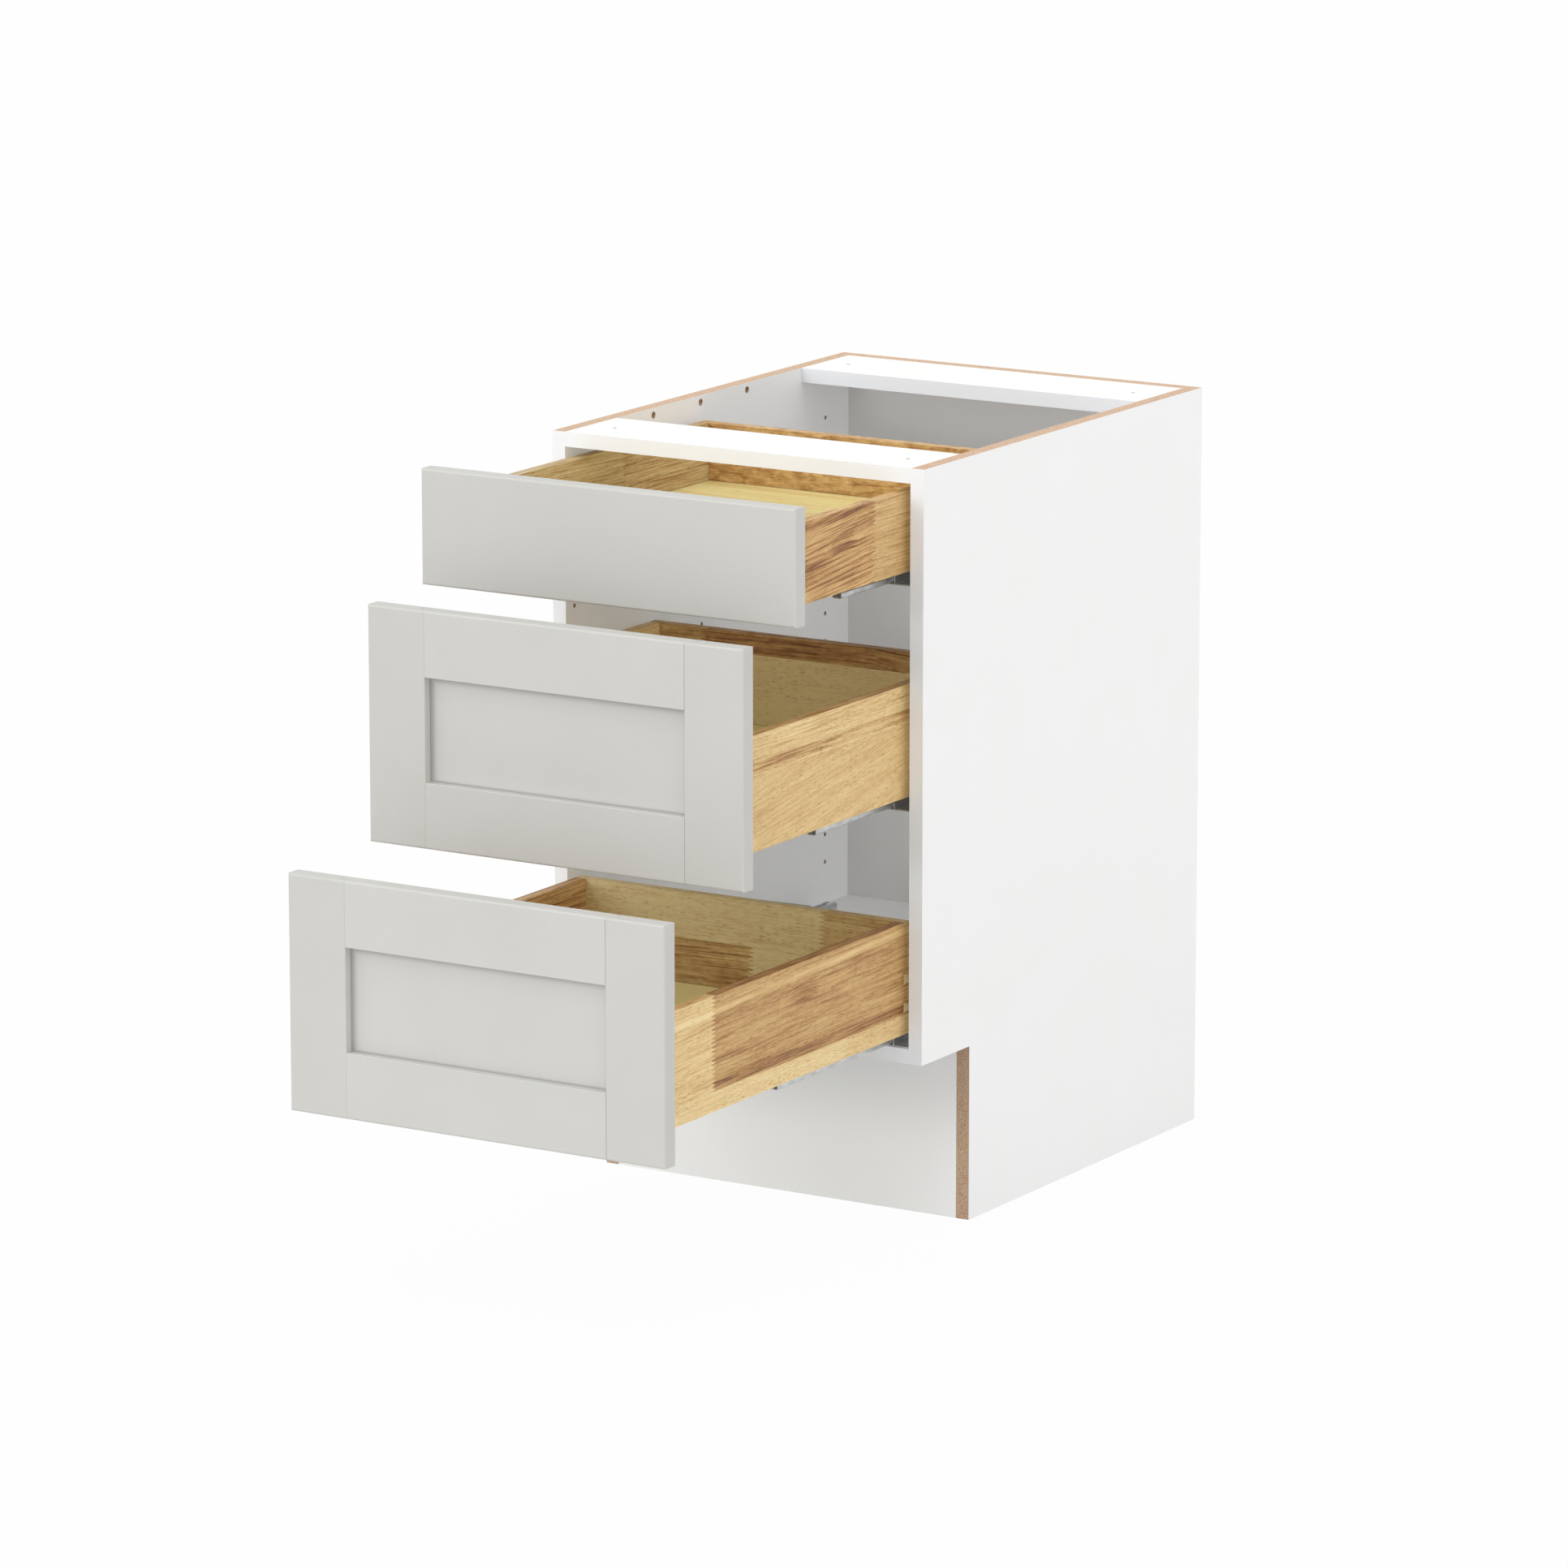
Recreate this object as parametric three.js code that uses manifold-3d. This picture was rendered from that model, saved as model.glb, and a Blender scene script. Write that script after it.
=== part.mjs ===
// A frameless kitchen base cabinet with three drawers on concealed full-extension runners.
//
// Millimetres, +Z up. The origin lies on the wall plane at floor level, in the middle of the
// cabinet's width. The drawers face -Y and stand open by their own amounts.

import * as THREE from 'three';
import { mergeVertices } from 'three/addons/utils/BufferGeometryUtils.js';
import Module from 'manifold-3d';

const wasm = await Module();
wasm.setup();

// ---------------------------------------------------------------- driving dimensions

// carcass
const carcassWidth = 457.2;
const carcassHeight = 825.5;
const carcassDepth = 600;
const boardThickness = 15.9;
const toeHeight = 190.5;
const toeDepth = 100;
const stretcherDepth = 101.6;
const jointGap = 0.1; // glue line between pieces that are fixed face to face

// drilling of the side panels, on a grid that is counted down from their top edge
const holePitch = 31.75;
const systemHoleRadius = 2.5;
const dowelHoleRadius = 4;
const blindHoleDepth = 12;
const rearHoleColumn = 534.5; // from the front edge
const frontHoleColumn = 17;
const columnPitch = 32;
const drawerPitchRows = 8;
const dowelHoleDrop = 8; // from the top edge to the dowel holes
const firstDowelColumn = 176;
const dowelColumnPitch = 96;
const stretcherHoleInset = 31.75; // from a side panel's inner face
const stretcherHoleFromEdge = 48.5;

// drawer fronts
const frontThickness = 19;
const frontSideReveal = 1.5;
const topReveal = 2.1;
const bottomReveal = 1.7;
const gapBetweenFronts = 4.1;
const topFrontHeight = 122.6;
const frontEdgeRadius = 2.5;
const frameMemberWidth = 69.85;
const frameInnerRadius = 1;
const panelRecess = 10;
const panelThickness = 6.1;
const panelGrooveDepth = 9.5;
const panelEdgeRoom = 0.5; // from the panel's edge to the bottom of its groove
const grooveFaceClearance = 0.15;

// drawer boxes
const boxBoard = 12.7;
const boxSideRoom = 8.3; // between a side panel and a drawer box
const topBoxRoom = 10.1; // between the top drawer's box and the stretcher above it
const shallowBoxHeight = 85;
const deepBoxHeight = 120.65;
const bottomThickness = 9;
const bottomRecess = 12.7; // from a box side's lower edge up to the groove
const bottomGrooveDepth = 6.35;
const bottomEdgeRoom = 0.35;
const pinWidth = 7; // a dovetail pin's narrow face
const pinSlope = 1 / 7;
const pinPitch = 28;
const pinAboveGroove = 1.2;
const notchRoom = 2.6; // beside a runner, where it passes the box's back

// runners
const runnerLength = 500;
const runnerSetback = 3; // from the carcass's front edge
const runnerBaseToBox = 14; // from a runner's base to the box's lower edge
const cabinetSheet = 1.2;
const slideSheet = 1;
const sheetBendRadius = 1.4;
const runnerWebHeight = 53;
const webFrontHeight = 22; // the web is cut down to this at its front end
const webSlopeLength = 30;
const webRearHeight = 3; // the web tapers to this at its rear end
const webTaperLength = 190;
const webSlotLength = 14;
const webSlotHeight = 6;
const railDepth = 10.6;
const railLip = 4.4;
const runningGap = 0.8; // beside the rollers
const ballGap = 1.3; // above the middle member's hood
const rollerGap = 1; // under the middle member's trough
const seatGap = 0.3;
const slideShortfall = 30; // the middle member is shorter than the other two by this
const slideSetback = 11; // behind the cabinet member's front end when the drawer is shut
const troughInset = 0.3; // the trough is this much narrower on each side than the drawer member
const drawerMemberWidth = 11.6;
const drawerMemberHeight = 12.4;
const drawerMemberLip = 3.2;
const firstScrewColumn = 37;
const runnerScrewHeight = 37;
const rearScrewHeight = 16; // under the tapered part of the web
const screwHeadRadius = 4.5;
const screwHeadHeight = 1.8;
const screwHeadMargin = 1; // from a head to the web's tapered edge
const middleScrewShare = 0.58; // how far along to the rear screw the middle one is
const hookPinRadius = 2.7;
const hookBoreRadius = 3.2;
const hookPinLength = 8;
const hookBoreRoom = 1; // past the pin's end
const hookTabWidth = 6;
const hookAboveGroove = 0.8; // from the box's bottom groove to the bore

// locking clips under the drawer bottoms
const clipLength = 52;
const clipWidth = 24;
const clipPlate = 2.4;
const clipCornerRadius = 3;
const clipBodyHeight = 10.5;
const clipBodyWidth = 13;
const clipBodySetback = 14; // behind the plate's front end
const clipBodyShortfall = 6; // in front of the plate's rear end
const clipScrewRadius = 2;
const clipScrewInset = 12;
const leverInset = 2.5; // narrower than the body on each side
const leverRise = 3.5;
const leverRunOut = 6; // how far the lever runs on under the body
const gripRibs = 4;
const gripRibPitch = 2.4;
const gripRibDepth = 0.8;
const latchSetback = 22; // of the slot that the clip's catch enters
const latchLength = 12;
const latchHeight = 5;
const latchClearance = 0.4;
const latchReach = 0.8; // of the catch past the drawer member's outer face

// how far each drawer stands open, from its front's rear face to the carcass
const topDrawerOpen = 233.7;
const middleDrawerOpen = 334.4;
const bottomDrawerOpen = 483.6;
const shutGap = 2; // left by the bumpers when a drawer is shut

const roundSegments = 12;

// ---------------------------------------------------------------- derived places

const halfWidth = carcassWidth / 2;
const innerHalf = halfWidth - boardThickness;
const carcassFront = -carcassDepth;
const toeBack = carcassFront + toeDepth;
const bottomPanelTop = toeHeight + boardThickness;
const backFace = -boardThickness;

// the two framed fronts share the height that the top front and the reveals leave
const frontWidth = carcassWidth - 2 * frontSideReveal;
const bottomFrontBase = toeHeight + bottomReveal;
const topFrontBase = carcassHeight - topReveal - topFrontHeight;
const frontPitch = (topFrontBase - bottomFrontBase) / 2;
const middleFrontBase = bottomFrontBase + frontPitch;
const tallFrontHeight = frontPitch - gapBetweenFronts;

const bottomRunnerBase = bottomPanelTop + jointGap;
const middleRunnerBase = bottomRunnerBase + frontPitch;
const topBoxEdge = carcassHeight - boardThickness - topBoxRoom - shallowBoxHeight;
const topRunnerBase = topBoxEdge - runnerBaseToBox;

const boxLength = runnerLength;
const boxOuterHalf = innerHalf - boxSideRoom;
const boxInnerHalf = boxOuterHalf - boxBoard;
const grooveHeight = bottomThickness + 2 * grooveFaceClearance;
const grooveTop = bottomRecess + grooveHeight;
const firstPinHeight = grooveTop + pinAboveGroove + pinWidth / 2 + boxBoard * pinSlope;
const hookAboveBoxEdge = grooveTop + hookAboveGroove + hookBoreRadius;

// across the runner, from a side panel's inner face
const drawerMemberOuter = boxSideRoom + boxBoard + 2 * seatGap;
const runnerCentre = drawerMemberOuter + drawerMemberWidth / 2;
const hoodHalf = drawerMemberWidth / 2 - slideSheet - runningGap;
const troughHalf = drawerMemberWidth / 2 - troughInset;
const railHalf = troughHalf + runningGap;
const notchWidth = 2 * seatGap + drawerMemberWidth + notchRoom;
const clipOuter = drawerMemberOuter + drawerMemberWidth + seatGap;

// up the runner, from its base
const drawerMemberTop = runnerBaseToBox + bottomRecess + grooveFaceClearance - seatGap;
const drawerMemberBottom = drawerMemberTop - drawerMemberHeight;
const slideTop = drawerMemberTop - slideSheet - ballGap;
const slideBottom = cabinetSheet + rollerGap;
const clipTop = runnerBaseToBox + bottomRecess + grooveFaceClearance - jointGap;
const latchCentre = drawerMemberTop - drawerMemberHeight / 2;

// ---------------------------------------------------------------- solids

function toSolid(geometry) {
  const bare = geometry.clone();
  bare.deleteAttribute('normal');
  bare.deleteAttribute('uv');
  const merged = mergeVertices(bare, 1e-5);
  return new wasm.Manifold(new wasm.Mesh({
    numProp: 3,
    vertProperties: merged.attributes.position.array,
    triVerts: Uint32Array.from(merged.index.array),
  }));
}

function toGeometry(solid) {
  const mesh = solid.getMesh();
  const geometry = new THREE.BufferGeometry();
  geometry.setAttribute('position', new THREE.BufferAttribute(mesh.vertProperties, 3));
  geometry.setIndex(new THREE.BufferAttribute(mesh.triVerts, 1));
  geometry.computeVertexNormals();
  return geometry;
}

function join(...solids) {
  return solids.reduce((sum, solid) => sum.add(solid));
}

function cut(solid, tools) {
  return tools.reduce((rest, tool) => rest.subtract(tool), solid);
}

// A rectangular board between two corners.
function board([x0, x1], [y0, y1], [z0, z1]) {
  const geometry = new THREE.BoxGeometry(x1 - x0, y1 - y0, z1 - z0);
  geometry.translate((x0 + x1) / 2, (y0 + y1) / 2, (z0 + z1) / 2);
  return toSolid(geometry);
}

function asShape(outline) {
  return outline instanceof THREE.Shape ? outline : new THREE.Shape(outline);
}

function extrude(outline, length) {
  const settings = { depth: length, bevelEnabled: false, curveSegments: 4 };
  return new THREE.ExtrudeGeometry(asShape(outline), settings);
}

// An outline in (y, z), run along X.
function alongX(outline, x0, x1) {
  const basis = new THREE.Matrix4().makeBasis(
    new THREE.Vector3(0, 1, 0),
    new THREE.Vector3(0, 0, 1),
    new THREE.Vector3(1, 0, 0),
  );
  return toSolid(extrude(outline, x1 - x0).applyMatrix4(basis).translate(x0, 0, 0));
}

// An outline in (x, z), run along Y.
function alongY(outline, y0, y1) {
  const basis = new THREE.Matrix4().makeBasis(
    new THREE.Vector3(1, 0, 0),
    new THREE.Vector3(0, 0, 1),
    new THREE.Vector3(0, -1, 0),
  );
  return toSolid(extrude(outline, y1 - y0).applyMatrix4(basis).translate(0, y1, 0));
}

// An outline in (x, y), run along Z.
function alongZ(outline, z0, z1) {
  return toSolid(extrude(outline, z1 - z0).translate(0, 0, z0));
}

// A round bar from a start point along one axis, for holes, pins and screw heads.
function bar(axis, start, radius, length) {
  const geometry = new THREE.CylinderGeometry(radius, radius, Math.abs(length), roundSegments);
  if (axis === 'x') geometry.rotateZ(Math.PI / 2);
  if (axis === 'z') geometry.rotateX(Math.PI / 2);
  const middle = { x: 0, y: 0, z: 0, [axis]: length / 2 };
  geometry.translate(start[0] + middle.x, start[1] + middle.y, start[2] + middle.z);
  return toSolid(geometry);
}

function points(...pairs) {
  return pairs.map(([a, b]) => new THREE.Vector2(a, b));
}

// The outline of bent sheet metal: its centre line goes through the corners given, with each
// bend as an arc.
function sheetOutline(corners, thickness) {
  const left = [];
  const right = [];
  const bendSteps = 3;
  const station = (point, direction) => {
    const side = new THREE.Vector2(-direction.y, direction.x).multiplyScalar(thickness / 2);
    left.push(point.clone().add(side));
    right.push(point.clone().sub(side));
  };
  corners.forEach((corner, i) => {
    const into = i > 0 ? corner.clone().sub(corners[i - 1]).normalize() : null;
    const out = i < corners.length - 1 ? corners[i + 1].clone().sub(corner).normalize() : null;
    if (!into || !out) {
      station(corner, out || into);
      return;
    }
    const turn = Math.atan2(into.cross(out), into.dot(out));
    const tangent = sheetBendRadius * Math.tan(Math.abs(turn) / 2);
    const start = corner.clone().addScaledVector(into, -tangent);
    const toCentre = new THREE.Vector2(-into.y, into.x)
      .multiplyScalar(sheetBendRadius * Math.sign(turn));
    const centre = start.clone().add(toCentre);
    for (let step = 0; step <= bendSteps; step += 1) {
      const angle = (turn * step) / bendSteps;
      const spoke = toCentre.clone().negate().rotateAround(new THREE.Vector2(), angle);
      station(centre.clone().add(spoke), into.clone().rotateAround(new THREE.Vector2(), angle));
    }
  });
  return [...left, ...right.reverse()];
}

// ---------------------------------------------------------------- materials and meshes

const finishes = {
  melamine: { color: 0xf1f1ef, roughness: 0.45, metalness: 0 },
  lacquer: { color: 0xd0cfca, roughness: 0.5, metalness: 0 },
  hardwood: { color: 0xcfa468, roughness: 0.6, metalness: 0 },
  plywood: { color: 0xd6c68c, roughness: 0.65, metalness: 0 },
  zinc: { color: 0xb9bcbd, roughness: 0.35, metalness: 1 },
  plastic: { color: 0x8d9094, roughness: 0.55, metalness: 0 },
};

function piece(name, solid, finish) {
  const material = new THREE.MeshStandardMaterial(finishes[finish]);
  const mesh = new THREE.Mesh(toGeometry(solid), material);
  mesh.name = name;
  return mesh;
}

// ---------------------------------------------------------------- carcass

// The blind holes that are drilled into one side panel, from its inner face.
function panelHoles(side) {
  const innerFace = side * innerHalf;
  const hole = (column, drop, radius) => bar(
    'x',
    [innerFace - side, carcassFront + column, carcassHeight - drop],
    radius,
    side * (blindHoleDepth + 1),
  );
  const system = (column, row) => hole(column, row * holePitch, systemHoleRadius);
  const holes = [system(rearHoleColumn, 2)];
  for (const drawer of [1, 2]) {
    const row = drawer * drawerPitchRows;
    holes.push(system(rearHoleColumn, row + 1), system(rearHoleColumn, row + 2));
    holes.push(system(frontHoleColumn, row - 2));
    holes.push(system(frontHoleColumn + columnPitch, row - 1));
    holes.push(system(frontHoleColumn + 8 * columnPitch, row));
  }
  for (let i = 0; i < 3; i += 1) {
    const column = firstDowelColumn + i * dowelColumnPitch;
    holes.push(hole(column, dowelHoleDrop, dowelHoleRadius));
  }
  return holes;
}

function sidePanel(side) {
  const outline = points(
    [toeBack, 0],
    [0, 0],
    [0, carcassHeight],
    [carcassFront, carcassHeight],
    [carcassFront, toeHeight],
    [toeBack, toeHeight],
  );
  const [x0, x1] = [side * innerHalf, side * halfWidth].sort((a, b) => a - b);
  return cut(alongX(outline, x0, x1), panelHoles(side));
}

function stretcher(frontEdge) {
  const half = innerHalf - jointGap;
  const slab = board(
    [-half, half],
    [frontEdge, frontEdge + stretcherDepth],
    [carcassHeight - boardThickness, carcassHeight],
  );
  const holes = [-1, 1].map((side) => bar(
    'z',
    [
      side * (innerHalf - stretcherHoleInset),
      frontEdge + stretcherHoleFromEdge,
      carcassHeight - boardThickness - 1,
    ],
    systemHoleRadius,
    boardThickness + 2,
  ));
  return cut(slab, holes);
}

function makeCarcass() {
  const carcass = new THREE.Group();
  const across = [-innerHalf + jointGap, innerHalf - jointGap];
  const behindBack = backFace - jointGap;
  carcass.add(
    piece('side_panel_left', sidePanel(-1), 'melamine'),
    piece('side_panel_right', sidePanel(1), 'melamine'),
    piece(
      'bottom_panel',
      board(across, [carcassFront, behindBack], [toeHeight, bottomPanelTop]),
      'melamine',
    ),
    piece('back_panel', board(across, [backFace, 0], [0, carcassHeight]), 'melamine'),
    piece(
      'toe_kick_board',
      board(across, [toeBack, toeBack + boardThickness], [0, toeHeight - jointGap]),
      'melamine',
    ),
    piece('front_stretcher', stretcher(carcassFront), 'melamine'),
    piece('rear_stretcher', stretcher(behindBack - stretcherDepth), 'melamine'),
  );
  return carcass;
}

// ---------------------------------------------------------------- drawer fronts

// A front is drawn with its rear face at y = 0 and its lower edge at z = 0.

// A rectangle of the front's thickness whose two front corners are rounded, in (a, y).
function easedProfile(a0, a1) {
  const r = frontEdgeRadius;
  const shape = new THREE.Shape();
  shape.moveTo(a0, 0);
  shape.lineTo(a0, -frontThickness + r);
  shape.absarc(a0 + r, -frontThickness + r, r, Math.PI, 1.5 * Math.PI, false);
  shape.lineTo(a1 - r, -frontThickness);
  shape.absarc(a1 - r, -frontThickness + r, r, 1.5 * Math.PI, 2 * Math.PI, false);
  shape.lineTo(a1, 0);
  return shape;
}

// The same profile in (y, a), for a run along X.
function turned(shape) {
  return shape.getPoints(4).map((point) => new THREE.Vector2(point.y, point.x));
}

function easedBoard(height) {
  const half = frontWidth / 2;
  const upright = alongZ(easedProfile(-half, half), 0, height);
  return upright.intersect(alongX(turned(easedProfile(0, height)), -half, half));
}

// One frame member's section: its outer edge at a = 0 and its inner edge at a = width, with the
// groove that holds the panel.
function frameSection() {
  const face = -frontThickness;
  const r = frameInnerRadius;
  const grooveFront = face + panelRecess;
  const grooveBack = grooveFront + panelThickness + 2 * grooveFaceClearance;
  const grooveFloor = frameMemberWidth - panelGrooveDepth;
  const shape = new THREE.Shape();
  shape.moveTo(0, 0);
  shape.lineTo(0, face);
  shape.lineTo(frameMemberWidth - r, face);
  shape.absarc(frameMemberWidth - r, face + r, r, 1.5 * Math.PI, 2 * Math.PI, false);
  shape.lineTo(frameMemberWidth, grooveFront);
  shape.lineTo(grooveFloor, grooveFront);
  shape.lineTo(grooveFloor, grooveBack);
  shape.lineTo(frameMemberWidth, grooveBack);
  shape.lineTo(frameMemberWidth, 0);
  return shape.getPoints(4);
}

function frameStile(side, height, envelope) {
  const half = frontWidth / 2;
  const outline = frameSection().map(({ x, y }) => new THREE.Vector2(side * (half - x), y));
  return alongZ(outline, 0, height).intersect(envelope);
}

// A rail runs between the stiles and enters their grooves with a stub tongue at each end.
function frameRail(top, height, envelope) {
  const shoulder = frontWidth / 2 - frameMemberWidth - jointGap;
  const place = (a) => (top ? height - a : a);
  const section = frameSection().map(({ x, y }) => new THREE.Vector2(y, place(x)));
  const grooveFront = -frontThickness + panelRecess;
  const tongueEnd = shoulder + panelGrooveDepth - panelEdgeRoom;
  const tongueBack = grooveFront + grooveFaceClearance + panelThickness;
  const tongueFloor = frameMemberWidth - panelGrooveDepth;
  const tongue = board(
    [-tongueEnd, tongueEnd],
    [grooveFront + grooveFaceClearance, tongueBack],
    [Math.min(place(0), place(tongueFloor)), Math.max(place(0), place(tongueFloor))],
  );
  return alongX(section, -shoulder, shoulder).intersect(envelope).add(tongue);
}

function framePanel(height) {
  const reach = panelGrooveDepth - panelEdgeRoom;
  const halfAcross = frontWidth / 2 - frameMemberWidth + reach;
  const front = -frontThickness + panelRecess + grooveFaceClearance;
  return board(
    [-halfAcross, halfAcross],
    [front, front + panelThickness],
    [frameMemberWidth - reach, height - frameMemberWidth + reach],
  );
}

function makeSlabFront(name, base) {
  const group = new THREE.Group();
  group.add(piece(`${name}_drawer_front`, easedBoard(topFrontHeight), 'lacquer'));
  group.position.z = base;
  return group;
}

function makeFramedFront(name, base) {
  const height = tallFrontHeight;
  const envelope = easedBoard(height);
  const group = new THREE.Group();
  group.add(
    piece(`${name}_front_stile_left`, frameStile(-1, height, envelope), 'lacquer'),
    piece(`${name}_front_stile_right`, frameStile(1, height, envelope), 'lacquer'),
    piece(`${name}_front_rail_top`, frameRail(true, height, envelope), 'lacquer'),
    piece(`${name}_front_rail_bottom`, frameRail(false, height, envelope), 'lacquer'),
    piece(`${name}_front_panel`, framePanel(height), 'lacquer'),
  );
  group.position.z = base;
  return group;
}

// ---------------------------------------------------------------- drawer boxes

// A box is drawn with the drawer front's rear face at y = 0 and its own lower edge at z = 0.
const boxFrontFace = jointGap;
const boxBackFace = boxLength;
const boxInnerFront = boxFrontFace + boxBoard;
const boxInnerBack = boxBackFace - boxBoard;

// Heights of the dovetail pins. The last one is a half pin at the upper edge.
function pinHeights(height) {
  const span = height - firstPinHeight;
  const count = Math.max(1, Math.round(span / pinPitch));
  return Array.from({ length: count + 1 }, (_, i) => firstPinHeight + (span * i) / count);
}

// One pin, or the socket it fits: a trapezoid in (y, z), narrow at the outer face. shrink is
// the play that is taken off each side of a pin.
function pinOutline(height, centre, outerY, innerY, shrink) {
  const narrow = pinWidth / 2 - shrink;
  const wide = narrow + boxBoard * pinSlope;
  const capped = (z) => Math.min(z, height);
  return points(
    [outerY, centre - narrow],
    [outerY, capped(centre + narrow)],
    [innerY, capped(centre + wide)],
    [innerY, centre - wide],
  );
}

// The room that the bottom panel takes in the boards round it.
function bottomPocket() {
  const halfAcross = boxInnerHalf + bottomGrooveDepth;
  return board(
    [-halfAcross, halfAcross],
    [boxInnerFront - bottomGrooveDepth, boxInnerBack + bottomGrooveDepth],
    [bottomRecess, bottomRecess + grooveHeight],
  );
}

function boxSide(side, height) {
  const outline = points(
    [boxFrontFace, 0],
    [boxBackFace, 0],
    [boxBackFace, height],
    [boxFrontFace, height],
  );
  const [x0, x1] = [side * boxInnerHalf, side * boxOuterHalf].sort((a, b) => a - b);
  const over = 1;
  const ends = [[boxFrontFace - over, boxInnerFront], [boxBackFace + over, boxInnerBack]];
  const sockets = pinHeights(height).flatMap((centre) => ends.map(([outerY, innerY]) => (
    alongX(pinOutline(height + over, centre, outerY, innerY, 0), x0 - over, x1 + over)
  )));
  return cut(alongX(outline, x0, x1), [...sockets, bottomPocket()]);
}

// The front and back boards: a full board between the sides, with a pin in each socket.
function boxEnd(height, outerY, innerY) {
  const shoulder = boxInnerHalf - jointGap;
  const yRange = [outerY, innerY].sort((a, b) => a - b);
  const between = board([-shoulder, shoulder], yRange, [0, height]);
  const pins = pinHeights(height).flatMap((centre) => [-1, 1].map((side) => {
    const [x0, x1] = [side * (shoulder - 1), side * boxOuterHalf].sort((a, b) => a - b);
    return alongX(pinOutline(height, centre, outerY, innerY, jointGap), x0, x1);
  }));
  return cut(join(between, ...pins), [bottomPocket()]);
}

// The back is notched where the runners pass and bored for their hooks.
function boxBack(height) {
  const plain = boxEnd(height, boxBackFace, boxInnerBack + jointGap);
  const notchTop = bottomRecess + grooveHeight / 2;
  const over = 1;
  const cutters = [-1, 1].flatMap((side) => {
    const notchInner = side * (boxInnerHalf - notchWidth);
    const notchOuter = side * (boxInnerHalf + over);
    const notchRange = [notchInner, notchOuter].sort((a, b) => a - b);
    const bore = [acrossFrom(side, runnerCentre), boxBackFace + over, hookAboveBoxEdge];
    return [
      board(notchRange, [boxInnerBack - over, boxBackFace + over], [-over, notchTop]),
      bar('y', bore, hookBoreRadius, -(hookPinLength + hookBoreRoom + over)),
    ];
  });
  return cut(plain, cutters);
}

function boxBottom() {
  const reach = bottomGrooveDepth - bottomEdgeRoom;
  const floor = bottomRecess + grooveFaceClearance;
  return board(
    [-boxInnerHalf - reach, boxInnerHalf + reach],
    [boxInnerFront - reach, boxInnerBack + reach],
    [floor, floor + bottomThickness],
  );
}

function makeBox(name, height, edge) {
  const group = new THREE.Group();
  group.add(
    piece(`${name}_box_side_left`, boxSide(-1, height), 'hardwood'),
    piece(`${name}_box_side_right`, boxSide(1, height), 'hardwood'),
    piece(`${name}_box_front`, boxEnd(height, boxFrontFace, boxInnerFront - jointGap), 'hardwood'),
    piece(`${name}_box_back`, boxBack(height), 'hardwood'),
    piece(`${name}_box_bottom`, boxBottom(), 'plywood'),
  );
  group.position.z = edge;
  return group;
}

// ---------------------------------------------------------------- runners

// A runner's sections are drawn in (u, z): u across from the side panel's inner face, z up from
// the runner's base. Each member is then run along Y and set against its own side panel.
function acrossFrom(side, u) {
  return side * (innerHalf - u);
}

function acrossRange(side, u0, u1) {
  return [acrossFrom(side, u0), acrossFrom(side, u1)].sort((a, b) => a - b);
}

function runnerSolid(side, outlines, y0, y1) {
  const place = (outline) => outline.map(({ x, y }) => new THREE.Vector2(acrossFrom(side, x), y));
  return join(...outlines.map((outline) => alongY(place(outline), y0, y1)));
}

// An oblong hole in (y, z), round at both ends.
function slotOutline(centreY, centreZ, length, height) {
  const r = height / 2;
  const reach = length / 2 - r;
  const shape = new THREE.Shape();
  shape.absarc(centreY + reach, centreZ, r, -Math.PI / 2, Math.PI / 2, false);
  shape.absarc(centreY - reach, centreZ, r, Math.PI / 2, 1.5 * Math.PI, false);
  return shape.getPoints(3);
}

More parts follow.
